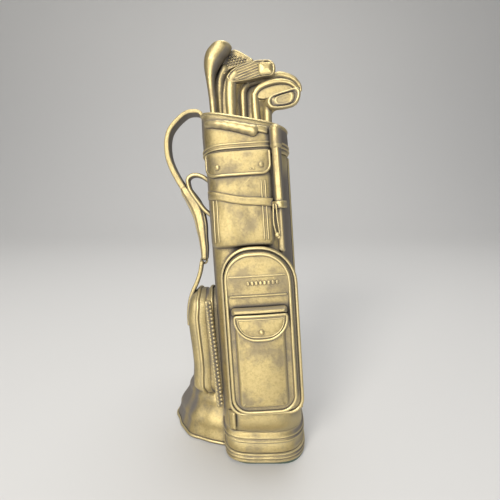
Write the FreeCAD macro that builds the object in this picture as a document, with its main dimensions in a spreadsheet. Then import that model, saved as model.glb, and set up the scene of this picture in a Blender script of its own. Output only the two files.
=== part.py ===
import FreeCAD, Part
import math
import os
import Sketcher

# A standing ornament in antique brass: a full golf bag, cast in pieces and soldered up.
# Row frame: +Z up, the bag's front faces -Y, +X is the viewer's right; the origin is the middle
# of the felt underside. The bag itself is drawn upright, with u = X across, v = Y depth and
# s = Z along its barrel, and is then leaned back and to the left about the origin. The foot,
# its plate and its felt stand level.

DIMENSIONS = [
    ("lean_back", 10.0, "lean of the bag towards the rear, degrees"),
    ("lean_left", 3.8, "lean of the bag towards the left, degrees"),
    ("reach", 60.0, "length that is longer than any cut needs"),
    ("tall", 240.0, "height that is taller than the bag"),
    ("barrel_width", 40.5, "barrel across"),
    ("barrel_depth", 35.0, "barrel front to back"),
    ("barrel_corner", 14.0, "corner radius of the barrel's plan"),
    ("barrel_wall", 2.6, "cast wall"),
    ("barrel_top", 149.0, "where the collar starts"),
    ("rim_height", 163.6, "middle of the slanted rim"),
    ("rim_slant", 13.0, "slope of the rim, down to the right, degrees"),
    ("rim_bead_size", 1.3, "height of the bead round the rim"),
    ("collar_proud", 1.0, "how far the collar stands proud of the barrel"),
    ("bead_proud", 0.5, "how far the rim bead stands proud of the collar"),
    ("seam_low", 146.6, "lower edge of the collar seam"),
    ("seam_high", 150.4, "upper edge of the collar seam"),
    ("seam_proud", 1.6, "how far the collar seam stands proud of the barrel"),
    ("deck_below_rim", 5.0, "depth of the club deck under the rim"),
    ("deck_thick", 3.0, "thickness of the club deck"),
    ("felt_thick", 1.0, "felt pad"),
    ("felt_inset", 1.2, "felt pad inside the foot ring's edge"),
    ("foot_width", 42.0, "foot ring across"),
    ("foot_depth", 38.4, "foot ring front to back"),
    ("foot_corner", 13.0, "corner radius of the foot"),
    ("foot_top", 5.6, "top of the foot ring above the table"),
    ("foot_wall", 3.4, "wall of the foot ring"),
    ("plate_top", 3.6, "top of the base plate above the table"),
    ("boot_inset", 0.8, "boot inside the foot ring's edge, each side"),
    ("boot_top", 10.9, "top of the boot's broad band"),
    ("band_top", 16.0, "top of the boot and seat of the barrel"),
    ("band_proud", 0.6, "how far the top band stands proud of the boot"),
    ("panel_thick", 2.6, "upper pocket panel over the barrel"),
    ("panel_width", 30.9, "upper pocket panel across"),
    ("panel_middle", -4.45, "middle of the upper pocket panel"),
    ("panel_low", 104.6, "bottom of the upper pocket panel"),
    ("panel_high", 146.4, "top of the upper pocket panel"),
    ("panel_corner", 3.0, "corner radius of the upper pocket panel"),
    ("welt_width", 1.3, "welt down the side of the upper pocket"),
    ("welt_proud", 0.8, "how far a welt or a piping stands proud"),
    ("welt_inset", 3.9, "welt inside the upper pocket's edge"),
    ("welt_high", 119.4, "top of the welts, under the belt"),
    ("small_round", 0.5, "rounding of straps, welts and bars"),
    ("flap_thick", 1.1, "upper flap over its pocket"),
    ("flap_width", 30.8, "upper flap across"),
    ("flap_middle", -4.2, "middle of the upper flap"),
    ("flap_low", 137.8, "lower edge of the upper flap"),
    ("flap_corner", 4.6, "corner radius of the upper flap"),
    ("piping_width", 1.1, "width of a flap's edge piping"),
    ("stud_radius", 1.25, "press studs on the upper flap"),
    ("stud_height", 1.0, "height of a press stud"),
    ("stud_spread", 20.3, "distance between the two press studs"),
    ("stud_level", 142.0, "height of the press studs along the bag"),
    ("belt_height", 3.8, "belt round the upper pocket"),
    ("belt_level", 127.0, "belt at the middle of the bag"),
    ("belt_slope", 11.5, "slope of the belt, down to the right, degrees"),
    ("belt_thick", 1.1, "thickness of the belt"),
    ("belt_length", 31.2, "belt across the front"),
    ("umbrella_bearing", 65.0, "where the umbrella stands round the corner, degrees"),
    ("umbrella_standoff", 18.3, "umbrella axis from the corner's centre"),
    ("umbrella_radius", 1.95, "rolled umbrella"),
    ("umbrella_cap_radius", 3.3, "umbrella's domed cap"),
    ("umbrella_cap_low", 150.6, "lower edge of the umbrella cap"),
    ("umbrella_cap_top", 160.0, "top of the umbrella cap"),
    ("umbrella_split", 123.2, "where the ring clasps the umbrella"),
    ("umbrella_low", 102.6, "lower end of the umbrella"),
    ("umbrella_stem_radius", 1.4, "umbrella below its ring"),
    ("ring_wire", 0.75, "wire radius of the ring round the umbrella"),
    ("tail_width", 3.0, "hanging end of the belt"),
    ("tail_length", 16.0, "length of the hanging end"),
    ("tail_thick", 1.1, "thickness of the hanging end"),
    ("pocket_width", 35.4, "front pocket across, at its gusset"),
    ("pocket_middle", 2.2, "middle of the front pocket"),
    ("pocket_low", 24.8, "bottom of the front pocket"),
    ("pocket_height", 79.8, "height of the front pocket"),
    ("pocket_crown", 16.0, "radius of the front pocket's round top"),
    ("pocket_corner", 7.0, "radius of the front pocket's lower corners"),
    ("gusset_face", 23.5, "front of the gusset, from the bag's axis"),
    ("front_face", 27.0, "front of the pocket panel, from the bag's axis"),
    ("front_inset", 2.35, "pocket panel inside the gusset, each side"),
    ("front_middle", 1.45, "middle of the pocket panel"),
    ("front_curve", 8.0, "radius of the pocket panel's lower corners"),
    ("front_round", 1.6, "rounding of the pocket panel's edge"),
    ("cord_width", 1.5, "width of the front pocket's pipings"),
    ("label_low", 82.6, "lower edge of the label band"),
    ("label_height", 8.9, "height of the label band"),
    ("label_thick", 0.6, "thickness of the label band"),
    ("bead_count", 8, "plain beads in the row"),
    ("bead_start", -2.9, "first bead across the bag"),
    ("bead_level", 88.4, "height of the row of beads"),
    ("bead_radius", 0.8, "plain beads in a row on the label band"),
    ("bead_height", 0.6, "height of a plain bead"),
    ("bead_pitch", 1.9, "distance between plain beads"),
    ("roll_low", 74.9, "lower edge of the padded hem over the pouch"),
    ("roll_height", 2.6, "height of the padded hem"),
    ("roll_thick", 1.2, "how far the hem stands proud"),
    ("roll_curve", 1.2, "radius of the padded hem's ends"),
    ("pouch_width", 22.4, "small pouch across"),
    ("pouch_middle", 1.2, "middle of the small pouch"),
    ("pouch_low", 31.0, "bottom of the small pouch"),
    ("pouch_height", 42.0, "height of the small pouch"),
    ("pouch_thick", 2.8, "how far the small pouch stands proud"),
    ("pouch_corner", 2.2, "corner radius of the small pouch"),
    ("pouch_round", 1.2, "rounding of the small pouch's edge"),
    ("pouch_flap_width", 24.7, "half-moon flap across"),
    ("pouch_flap_middle", 1.85, "middle of the half-moon flap"),
    ("pouch_flap_low", 62.6, "lower point of the half-moon flap"),
    ("pouch_flap_height", 12.0, "height of the half-moon flap"),
    ("pouch_flap_curve", 10.4, "radius of the half-moon flap's lower corners"),
    ("pouch_flap_corner", 1.4, "radius of the half-moon flap's upper corners"),
    ("pouch_flap_thick", 1.2, "thickness of the half-moon flap"),
    ("snap_level", 66.8, "height of the small pouch's snap"),
    ("tab_width", 3.6, "tab under the front pocket"),
    ("tab_middle", -15.3, "middle of the tab under the front pocket"),
    ("tab_low", 15.2, "lower end of the tab"),
    ("tab_height", 9.0, "height of the tab"),
    ("tab_thick", 1.6, "thickness of the tab"),
    ("zip_width", 2.6, "braided strip beside the front pocket"),
    ("zip_middle", -17.8, "middle of the braided strip"),
    ("zip_low", 27.0, "lower end of the braided strip"),
    ("zip_height", 52.0, "length of the braided strip"),
    ("zip_thick", 1.8, "how far the braided strip stands proud"),
    ("rod_radius", 0.6, "round piping down the right-hand side"),
    ("rod_depth", -2.0, "where the right-hand piping runs, front to back"),
    ("spine_width", 9.0, "spine down the rear"),
    ("spine_thick", 1.6, "how far the spine stands proud"),
    ("side_depth", 24.0, "side pocket front to back"),
    ("side_middle", 3.0, "middle of the side pocket, front to back"),
    ("side_low", 28.6, "bottom of the side pocket"),
    ("side_height", 54.2, "height of the side pocket"),
    ("side_crown", 8.0, "radius of the side pocket's upper corners"),
    ("side_corner", 5.0, "radius of the side pocket's lower corners"),
    ("side_face", 35.2, "outer face of the side pocket, from the bag's axis"),
    ("side_round", 2.4, "rounding of the side pocket's edge"),
    ("side_piping_near", 23.0, "inner piping of the side pocket, from the bag's axis"),
    ("side_piping_far", 30.4, "outer piping of the side pocket, from the bag's axis"),
    ("strap_thick", 3.0, "shoulder strap's thickness"),
    ("strap_width", 8.5, "shoulder strap's width"),
    ("strap_depth", 2.0, "middle of the strap, front to back"),
    ("pad_thick", 4.2, "strap pad's thickness"),
    ("pad_width", 9.0, "strap pad's width"),
    ("webbing_thick", 2.0, "webbing's thickness"),
    ("webbing_width", 4.5, "webbing's width"),
    ("strap_ring_radius", 1.5, "middle radius of the strap's ring"),
    ("strap_ring_wire", 0.6, "wire radius of the strap's ring"),
    ("strap_ring_shift", -0.3, "how far the ring hangs to the left of the pad's end"),
    ("handle_thick", 2.2, "carry handle's thickness"),
    ("handle_width", 4.4, "carry handle's width"),
    ("grip_length", 20.6, "fat carry grip on the collar"),
    ("grip_thin", 1.9, "grip's radius at its left end"),
    ("grip_fat", 2.5, "grip's radius at its right end"),
    ("grip_slope", 10.0, "slope of the grip, degrees"),
    ("grip_tab_length", 5.2, "flat tab at the grip's right end"),
    ("grip_tab_height", 3.4, "height of the flat tab"),
    ("grip_tab_thick", 1.1, "thickness of the flat tab"),
    ("grip_tab_middle", 8.1, "middle of the flat tab across the bag"),
    ("grip_tab_level", 158.6, "height of the flat tab"),
    ("grip_start", -16.6, "left end of the grip across the bag"),
    ("grip_level", 163.0, "left end of the grip along the bag"),
    ("hood_middle", -16.0, "middle of the draped hood's full outline, under the bag"),
    ("hood_side", -19.6, "where the hood stops beside the bag"),
    ("hood_low_width", 70.0, "full outline across, on the table"),
    ("hood_low_front", -6.5, "front of the outline on the table"),
    ("hood_low_depth", 51.5, "outline front to back, on the table"),
    ("hood_low_curve", 34.0, "front corner radius on the table"),
    ("hood_low_rear", 16.0, "rear corner radius on the table"),
    ("hood_mid_level", 27.0, "height where the hood draws in"),
    ("hood_mid_width", 50.0, "full outline across, where it draws in"),
    ("hood_mid_front", 3.0, "front of the outline where it draws in"),
    ("hood_mid_depth", 42.0, "outline front to back, where it draws in"),
    ("hood_mid_curve", 24.0, "front corner radius where it draws in"),
    ("hood_mid_rear", 14.0, "rear corner radius where it draws in"),
    ("hood_top_level", 54.0, "top of the draped hood"),
    ("hood_top_width", 30.0, "full outline across, at the top"),
    ("hood_top_front", 19.0, "front of the outline at the top"),
    ("hood_top_depth", 24.0, "outline front to back, at the top"),
    ("hood_top_curve", 13.0, "front corner radius at the top"),
    ("hood_top_rear", 9.0, "rear corner radius at the top"),
    ("driver_width", 15.6, "driver head across"),
    ("driver_height", 13.8, "driver head's height"),
    ("driver_depth", 9.5, "driver head front to back"),
    ("driver_slope", 12.0, "slope of the driver head, degrees"),
    ("driver_across", -10.6, "middle of the driver head across the bag"),
    ("driver_in", -3.2, "middle of the driver head, front to back"),
    ("driver_level", 200.2, "height of the driver head along the bag"),
    ("hem_height", 1.6, "hem along the hood's lower edge"),
    ("hem_proud", 0.7, "how far the hem stands proud"),
]

doc = FreeCAD.newDocument("golf_bag_ornament")
sheet = doc.addObject("Spreadsheet::Sheet", "Sizes")
for row, (alias, value, meaning) in enumerate(DIMENSIONS, start=1):
    sheet.set(f"A{row}", meaning)
    sheet.set(f"B{row}", str(value))
    sheet.setAlias(f"B{row}", alias)
doc.recompute()

X_AXIS = FreeCAD.Vector(1, 0, 0)
Y_AXIS = FreeCAD.Vector(0, 1, 0)
Z_AXIS = FreeCAD.Vector(0, 0, 1)
ORIGIN = FreeCAD.Vector(0, 0, 0)
NODES = []
FLAT = 1e-4     # an edge whose bounds agree this closely lies flat


def size(alias):
    """A driving dimension's value."""
    return float(sheet.get(alias))


def bound(expression):
    """The same expression with every driving dimension read from the sheet."""
    words = expression.replace("(", "( ").replace(")", " )").split()
    return " ".join(f"Sizes.{word}" if word[0].isalpha() else word for word in words)


LEAN = FreeCAD.Placement(
    ORIGIN,
    FreeCAD.Rotation(Y_AXIS, -size("lean_left")) * FreeCAD.Rotation(X_AXIS, -size("lean_back")),
)


def finish(piece, label, leaned=True):
    """Name a finished sub-part, lean it with the bag, and list it for writing."""
    piece.Label = label
    if leaned:
        piece.Placement = LEAN.multiply(piece.Placement)
    NODES.append(piece)
    return piece


# ---------------------------------------------------------------- sketches and features

def add_sketch(body, plane_role, start="0", tilt=0.0, pivot=("0", "0")):
    """A sketch on one of the body's own origin planes, moved out by start and turned by tilt.

    Its own origin lies at the pivot, a place across and up given as sheet expressions.
    """
    plane = next(p for p in body.Origin.OriginFeatures if p.Role == plane_role)
    sketch = body.newObject("Sketcher::SketchObject", body.Name + "_sketch")
    sketch.AttachmentSupport = (plane, [""])
    sketch.MapMode = "FlatFace"
    sketch.AttachmentOffset = FreeCAD.Placement(ORIGIN, FreeCAD.Rotation(Z_AXIS, tilt))
    for axis, expression in zip("xyz", (*pivot, start)):
        sketch.setExpression(f".AttachmentOffset.Base.{axis}", bound(expression))
    return sketch


def rounded_outline(sketch, width, height, top_radius, low_radius, middle="0", low="0"):
    """Closed outline of straight sides and round corners; each size is a sheet expression."""
    wide, high, crown, corner, centre, bottom = (
        float(sketch.evalExpression(bound(text)))
        for text in (width, height, top_radius, low_radius, middle, low)
    )
    left, right, top = centre - wide / 2, centre + wide / 2, bottom + high
    sides = [
        ((left + corner, bottom), (right - corner, bottom)),
        ((right, bottom + corner), (right, top - crown)),
        ((right - crown, top), (left + crown, top)),
        ((left, top - crown), (left, bottom + corner)),
    ]
    corners = [
        (right - corner, bottom + corner, corner, -90),
        (right - crown, top - crown, crown, 0),
        (left + crown, top - crown, crown, 90),
        (left + corner, bottom + corner, corner, 180),
    ]
    lines, arcs = [], []
    for (start, end), (x, y, radius, angle) in zip(sides, corners):
        line = Part.LineSegment(FreeCAD.Vector(*start, 0), FreeCAD.Vector(*end, 0))
        lines.append(sketch.addGeometry(line, False))
        circle = Part.Circle(FreeCAD.Vector(x, y, 0), Z_AXIS, radius)
        arc = Part.ArcOfCircle(circle, math.radians(angle), math.radians(angle + 90))
        arcs.append(sketch.addGeometry(arc, False))
    for index in range(4):
        following = lines[(index + 1) % 4]
        sketch.addConstraint(Sketcher.Constraint("Tangent", lines[index], 2, arcs[index], 1))
        sketch.addConstraint(Sketcher.Constraint("Tangent", arcs[index], 2, following, 1))
    for line in (lines[0], lines[2]):
        sketch.addConstraint(Sketcher.Constraint("Horizontal", line))
    for line in (lines[1], lines[3]):
        sketch.addConstraint(Sketcher.Constraint("Vertical", line))
    sketch.addConstraint(Sketcher.Constraint("Equal", arcs[0], arcs[3]))
    sketch.addConstraint(Sketcher.Constraint("Equal", arcs[1], arcs[2]))
    bound_constraints = [
        (Sketcher.Constraint("Radius", arcs[0], corner), low_radius),
        (Sketcher.Constraint("Radius", arcs[1], crown), top_radius),
        (Sketcher.Constraint("DistanceX", lines[3], 1, lines[1], 1, wide), width),
        (Sketcher.Constraint("DistanceY", lines[0], 1, lines[2], 1, high), height),
        (Sketcher.Constraint("DistanceX", -1, 1, lines[3], 1, left), f"{middle} - ( {width} ) / 2"),
        (Sketcher.Constraint("DistanceY", -1, 1, lines[0], 1, bottom), low),
    ]
    for constraint, expression in bound_constraints:
        number = sketch.addConstraint(constraint)
        sketch.setExpression(f"Constraints[{number}]", bound(expression))


def plan_outline(sketch, proud="0"):
    """The barrel's plan, grown outwards by proud."""
    rounded_outline(
        sketch,
        f"barrel_width + 2 * ( {proud} )",
        f"barrel_depth + 2 * ( {proud} )",
        f"barrel_corner + {proud}",
        f"barrel_corner + {proud}",
        low=f"0 - barrel_depth / 2 - ( {proud} )",
    )


def add_pad(body, sketch, length, backwards=False):
    pad = body.newObject("PartDesign::Pad", body.Name + "_pad")
    pad.Profile = sketch
    pad.setExpression("Length", bound(length))
    pad.Reversed = backwards
    doc.recompute()
    return pad


def add_cut(body, sketch, length, backwards=False, both_ways=False):
    before = body.Shape.Volume
    pocket = body.newObject("PartDesign::Pocket", body.Name + "_pocket")
    pocket.Profile = sketch
    pocket.setExpression("Length", bound(length))
    pocket.Reversed = backwards
    pocket.Midplane = both_ways
    doc.recompute()
    if body.Shape.Volume >= before:
        raise ValueError(f"{body.Name}: a cut removed nothing")
    return pocket


def carve_barrel(body, proud="0"):
    """Hollow the piece's rear to sit on the barrel, or on a layer that stands proud of it."""
    sketch = add_sketch(body, "XY_Plane")
    plan_outline(sketch, proud)
    add_cut(body, sketch, "tall", backwards=True)


def trim_to_plan(body, proud):
    """Cut away what lies outside the barrel's plan grown by proud."""
    sketch = add_sketch(body, "XY_Plane")
    rounded_outline(sketch, "4 * reach", "4 * reach", "1", "1", low="0 - 2 * reach")
    plan_outline(sketch, proud)
    add_cut(body, sketch, "tall", backwards=True)


def trim_slanted(body, level, above, tilt):
    """Cut away what lies above, or below, a plane through (0, 0, level) that slopes by tilt."""
    sketch = add_sketch(body, "XZ_Plane", tilt=-tilt, pivot=("0", level))
    low = "0" if above else "0 - 2 * reach"
    rounded_outline(sketch, "4 * reach", "2 * reach", "1", "1", low=low)
    add_cut(body, sketch, "4 * reach", both_ways=True)


def lies_at(lowest, highest, level):
    """Whether an edge with these bounds lies flat at a level."""
    return abs(lowest - level) + abs(highest - level) < FLAT


def round_edges(body, radius, chosen):
    """Round those edges of the body that the test function picks."""
    solid = body.Tip
    names = [f"Edge{i}" for i, edge in enumerate(body.Shape.Edges, start=1) if chosen(edge)]
    fillet = body.newObject("PartDesign::Fillet", body.Name + "_fillet")
    fillet.Base = (solid, names)
    fillet.setExpression("Radius", bound(radius))
    body.Tip = fillet
    doc.recompute()


# ---------------------------------------------------------------- kinds of sub-part

def wrapped_panel(label, outlines, inner, outer, tilt=0.0, pivot=("0", "0")):
    """A layer that lies on the barrel's front from inner to outer, cut to an outline."""
    body = doc.addObject("PartDesign::Body", label)
    sketch = add_sketch(body, "XZ_Plane", tilt=tilt, pivot=pivot)
    for outline in outlines:
        rounded_outline(sketch, **outline)
    add_pad(body, sketch, "reach")
    carve_barrel(body, inner)
    trim_to_plan(body, outer)
    return finish(body, label)


def front_block(label, outlines, start, thick, edge_round=None):
    """A flat-backed block on the front, from start outwards, with its front edges rounded."""
    body = doc.addObject("PartDesign::Body", label)
    sketch = add_sketch(body, "XZ_Plane", start=start)
    for outline in outlines:
        rounded_outline(sketch, **outline)
    add_pad(body, sketch, thick)
    if edge_round:
        face = -float(body.evalExpression(bound(f"{start} + {thick}")))
        round_edges(body, edge_round, lambda edge: lies_at(edge.BoundBox.YMin, edge.BoundBox.YMax, face))
    return finish(body, label)


def inset(outline, amount):
    """The same outline, drawn smaller by amount all round."""
    smaller = dict(outline)
    smaller["width"] = f"{outline['width']} - 2 * {amount}"
    smaller["height"] = f"{outline['height']} - 2 * {amount}"
    smaller["top_radius"] = f"{outline['top_radius']} - {amount}"
    smaller["low_radius"] = f"{outline['low_radius']} - {amount}"
    smaller["low"] = f"{outline['low']} + {amount}"
    return smaller


def band_ring(label, inner, outer, low, height):
    """A straight ring round the barrel."""
    body = doc.addObject("PartDesign::Body", label)
    sketch = add_sketch(body, "XY_Plane", start=low)
    plan_outline(sketch, outer)
    plan_outline(sketch, inner)
    add_pad(body, sketch, height)
    return body


def level_block(label, low, height, width, depth, corner, middle_y="0", hole_wall=None):
    """A level block of the foot, with a hole in it if hole_wall is given."""
    body = doc.addObject("PartDesign::Body", label)
    sketch = add_sketch(body, "XY_Plane", start=low)
    rounded_outline(sketch, width, depth, corner, corner, low=f"{middle_y} - ( {depth} ) / 2")
    if hole_wall:
        rounded_outline(
            sketch, f"{width} - 2 * {hole_wall}", f"{depth} - 2 * {hole_wall}",
            f"{corner} - {hole_wall}", f"{corner} - {hole_wall}",
            low=f"{middle_y} - ( {depth} ) / 2 + {hole_wall}",
        )
    add_pad(body, sketch, height)
    return finish(body, label, leaned=False)


def level_loft(label, sections):
    """A loft through level outlines: (level, width, depth, corner, middle_x, middle_y)."""
    body = doc.addObject("PartDesign::Body", label)
    sketches = []
    for level, width, depth, corner, middle_x, middle_y in sections:
        sketch = add_sketch(body, "XY_Plane", start=level)
        low = f"{middle_y} - ( {depth} ) / 2"
        rounded_outline(sketch, width, depth, corner, corner, middle=middle_x, low=low)
        sketches.append(sketch)
    loft = body.newObject("PartDesign::AdditiveLoft", label + "_loft")
    loft.Profile = sketches[0]
    loft.Sections = sketches[1:]
    doc.recompute()
    return body


def bag_cylinder(name, radius, height, foot, tip=None):
    """A Part cylinder that stands on foot, and points at tip if one is given."""
    rod = doc.addObject("Part::Cylinder", name)
    rod.setExpression("Radius", bound(radius))
    rod.setExpression("Height", bound(height))
    direction = Z_AXIS if tip is None else tip - foot
    rod.Placement = FreeCAD.Placement(foot, FreeCAD.Rotation(Z_AXIS, direction))
    return rod


def grouped(label, pieces):
    """Several separate solids of one kind under one name."""
    group = doc.addObject("Part::Compound", label)
    group.Links = pieces
    return finish(group, label)


def rounded_route(points):
    """Straight runs joined by tangent arcs; each arc is as large as its two runs allow."""
    edges, start = [], points[0]
    for before, corner, after in zip(points, points[1:], points[2:]):
        into, out = corner - before, after - corner
        half_turn = into.getAngle(out) / 2
        shorter = min(into.Length, out.Length)
        radius = 0.45 * shorter / math.tan(half_turn)
        back = 0.45 * shorter
        arc_in = corner - into.normalize() * back
        arc_out = corner + out.normalize() * back
        bisector = (out - into).normalize()
        middle = corner + bisector * (radius / math.cos(half_turn) - radius)
        edges.append(Part.makeLine(start, arc_in))
        edges.append(Part.Arc(arc_in, middle, arc_out).toShape())
        start = arc_out
    edges.append(Part.makeLine(start, points[-1]))
    return Part.Wire(edges)


def strap_shape(route, thick, width):
    """A flat band whose thickness lies in the route's plane and whose width runs front to back."""
    points = [FreeCAD.Vector(u, size("strap_depth"), s) for u, s in route]
    wire = rounded_route(points)
    along = (points[1] - points[0]).normalize()
    across = along.cross(Y_AXIS).normalize()
    corners = [
        points[0] + across * (side * thick / 2) + Y_AXIS * (end * width / 2)
        for side, end in ((-1, -1), (1, -1), (1, 1), (-1, 1), (-1, -1))
    ]
    profile = Part.makePolygon(corners)
    return wire.makePipeShell([profile], True, False)


def strap_piece(label, route, thick, width):
    piece = doc.addObject("Part::Feature", label)
    piece.Shape = strap_shape(route, size(thick), size(width))
    return finish(piece, label)


# ---------------------------------------------------------------- foot

def make_foot():
    felt = level_block(
        "felt_pad", "0", "felt_thick",
        "foot_width - 2 * felt_inset", "foot_depth - 2 * felt_inset", "foot_corner - felt_inset",
    )
    foot_ring = level_block(
        "foot_ring", "felt_thick", "foot_top - felt_thick",
        "foot_width", "foot_depth", "foot_corner", hole_wall="foot_wall",
    )
    level_block(
        "base_plate", "felt_thick", "plate_top - felt_thick",
        "foot_width - 2 * foot_wall", "foot_depth - 2 * foot_wall", "foot_corner - foot_wall",
    )

    def outline_at(level, proud):
        """The boot's outline at a level: it shears back and left with the leaning bag."""
        return (
            level,
            f"foot_width - 2 * boot_inset + 2 * {proud}",
            f"foot_depth - 2 * boot_inset + 2 * {proud}",
            "foot_corner",
            f"0 - {level} * shear_left",
            f"{level} * shear_back",
        )

    boot = level_loft("base_boot", [outline_at("foot_top", "0"), outline_at("boot_top", "0")])
    finish(boot, "base_boot", leaned=False)
    band = level_loft(
        "boot_top_band",
        [outline_at("boot_top", "band_proud"), outline_at("band_top", "band_proud")],
    )
    finish(band, "boot_top_band", leaned=False)
    return [felt, foot_ring, boot, band]


def add_shear_cells():
    """Shear of the level boot, so that it follows the leaning barrel."""
    row = len(DIMENSIONS) + 1
    for offset, (alias, angle) in enumerate((("shear_left", "lean_left"), ("shear_back", "lean_back"))):
        cell = f"B{row + offset}"
        sheet.set(cell, f"=tan({angle} * 1 deg)")
        sheet.setAlias(cell, alias)
    doc.recompute()


# ---------------------------------------------------------------- barrel and collar

def cut_level(body, label):
    """Cut a leaning piece level, to stand on top of the boot."""
    floor = doc.addObject("Part::Box", label + "_floor")
    floor.setExpression("Length", bound("4 * reach"))
    floor.setExpression("Width", bound("4 * reach"))
    floor.setExpression("Height", bound("2 * reach"))
    corner = FreeCAD.Vector(-2 * size("reach"), -2 * size("reach"), size("band_top") - 2 * size("reach"))
    floor.Placement = FreeCAD.Placement(corner, FreeCAD.Rotation())
    body.Placement = LEAN
    cut = doc.addObject("Part::Cut", label)
    cut.Base = body
    cut.Tool = floor
    return finish(cut, label, leaned=False)


def make_barrel():
    tube = band_ring("barrel_tube", "0 - barrel_wall", "0", "0", "barrel_top")
    barrel = cut_level(tube, "barrel_shell")

    collar = band_ring(
        "collar", "0 - barrel_wall", "collar_proud", "seam_high", "reach",
    )
    trim_slanted(collar, "rim_height", True, size("rim_slant"))
    finish(collar, "collar")

    seam = band_ring("collar_seam", "0", "seam_proud", "seam_low", "barrel_top - seam_low")
    finish(seam, "collar_seam")
    cap = band_ring("collar_ledge", "0 - barrel_wall", "seam_proud", "barrel_top", "seam_high - barrel_top")
    finish(cap, "collar_ledge")

    bead = band_ring("rim_bead", "0 - barrel_wall", "collar_proud + bead_proud", "barrel_top", "reach")
    trim_slanted(bead, "rim_height", False, size("rim_slant"))
    trim_slanted(bead, "rim_height + rim_bead_size", True, size("rim_slant"))
    finish(bead, "rim_bead")

    deck = doc.addObject("PartDesign::Body", "club_deck")
    sketch = add_sketch(deck, "XY_Plane", start="barrel_top - reach / 2")
    plan_outline(sketch, "0 - barrel_wall")
    add_pad(deck, sketch, "2 * reach")
    trim_slanted(deck, "rim_height - deck_below_rim", True, size("rim_slant"))
    trim_slanted(deck, "rim_height - deck_below_rim - deck_thick", False, size("rim_slant"))
    finish(deck, "club_deck")
    return barrel


# ---------------------------------------------------------------- upper pocket and belt

PANEL = dict(
    width="panel_width", height="panel_high - panel_low", top_radius="panel_corner",
    low_radius="panel_corner", middle="panel_middle", low="panel_low",
)
UPPER_FLAP = dict(
    width="flap_width", height="seam_low - flap_low", top_radius="pouch_flap_corner",
    low_radius="flap_corner", middle="flap_middle", low="flap_low",
)


def make_upper_pocket():
    wrapped_panel("upper_pocket", [PANEL], "0", "panel_thick")
    flap_outside = "panel_thick + flap_thick"
    wrapped_panel("upper_flap", [UPPER_FLAP], "panel_thick", flap_outside)
    wrapped_panel(
        "upper_flap_piping", [UPPER_FLAP, inset(UPPER_FLAP, "piping_width")],
        flap_outside, f"{flap_outside} + welt_proud",
    )
    for side, place in (("left", "0 - 1"), ("right", "1")):
        welt = dict(
            width="welt_width", height="welt_high - panel_low - panel_corner",
            top_radius="small_round", low_radius="small_round", low="panel_low + panel_corner",
            middle=f"panel_middle + {place} * ( panel_width / 2 - welt_inset )",
        )
        wrapped_panel(f"pocket_welt_{side}", [welt], "panel_thick", "panel_thick + welt_proud")

    face = -(size("barrel_depth") / 2 + size("panel_thick") + size("flap_thick"))
    studs = []
    for number, side in enumerate((-0.5, 0.5), start=1):
        across = size("flap_middle") + side * size("stud_spread")
        corner_centre = size("barrel_width") / 2 - size("barrel_corner")
        round_part = max(0.0, abs(across) - corner_centre)
        outer_radius = size("barrel_corner") + size("panel_thick") + size("flap_thick")
        drop = outer_radius - math.sqrt(outer_radius**2 - round_part**2)
        outwards = FreeCAD.Vector(math.copysign(round_part, across), -(outer_radius - drop), 0)
        foot = FreeCAD.Vector(across, face + drop, size("stud_level"))
        studs.append(bag_cylinder(f"stud_{number}", "stud_radius", "stud_height", foot, foot + outwards))
    grouped("flap_studs", studs)


def make_belt():
    belt = dict(
        width="belt_length", height="belt_height", top_radius="small_round", low_radius="small_round",
        low="0 - belt_height / 2",
    )
    wrapped_panel(
        "belt", [belt], "panel_thick", "panel_thick + belt_thick",
        tilt=-size("belt_slope"), pivot=("panel_middle", "belt_level"),
    )


# ---------------------------------------------------------------- umbrella

def umbrella_axis(level):
    """A point on the umbrella's axis at a height along the bag."""
    bearing = math.radians(size("umbrella_bearing"))
    corner_x = size("barrel_width") / 2 - size("barrel_corner")
    corner_y = -(size("barrel_depth") / 2 - size("barrel_corner"))
    return FreeCAD.Vector(
        corner_x + size("umbrella_standoff") * math.cos(bearing),
        corner_y - size("umbrella_standoff") * math.sin(bearing),
        level,
    )


def make_umbrella():
    split = size("umbrella_split")
    stem = bag_cylinder(
        "stem", "umbrella_stem_radius", "umbrella_split - umbrella_low", umbrella_axis(size("umbrella_low")),
    )
    finish(stem, "umbrella_stem")
    roll = bag_cylinder(
        "roll", "umbrella_radius", "umbrella_cap_low - umbrella_split", umbrella_axis(split),
    )
    finish(roll, "umbrella_roll")

    barrel = bag_cylinder(
        "cap_barrel", "umbrella_cap_radius", "umbrella_cap_top - umbrella_cap_low - umbrella_cap_radius",
        umbrella_axis(size("umbrella_cap_low")),
    )
    dome = doc.addObject("Part::Sphere", "cap_dome")
    dome.setExpression("Radius", bound("umbrella_cap_radius"))
    dome.Placement.Base = umbrella_axis(size("umbrella_cap_top") - size("umbrella_cap_radius"))
    cap = doc.addObject("Part::Fuse", "umbrella_cap")
    cap.Base = barrel
    cap.Tool = dome
    finish(cap, "umbrella_cap")

    ring = doc.addObject("Part::Torus", "umbrella_ring")
    ring.setExpression("Radius1", bound("umbrella_radius + ring_wire"))
    ring.setExpression("Radius2", bound("ring_wire"))
    ring.Placement.Base = umbrella_axis(split)
    finish(ring, "umbrella_ring")

    tail = doc.addObject("PartDesign::Body", "belt_tail")
    ring_front = "umbrella_front + umbrella_radius + 2 * ring_wire"
    sketch = add_sketch(tail, "XZ_Plane", start=ring_front)
    rounded_outline(
        sketch, "tail_width", "tail_length", "0.6", "tail_width / 2 - 0.1",
        middle="umbrella_across - 1.4 * tail_width / 2", low="umbrella_split - tail_length",
    )
    add_pad(tail, sketch, "tail_thick")
    finish(tail, "belt_tail")


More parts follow.
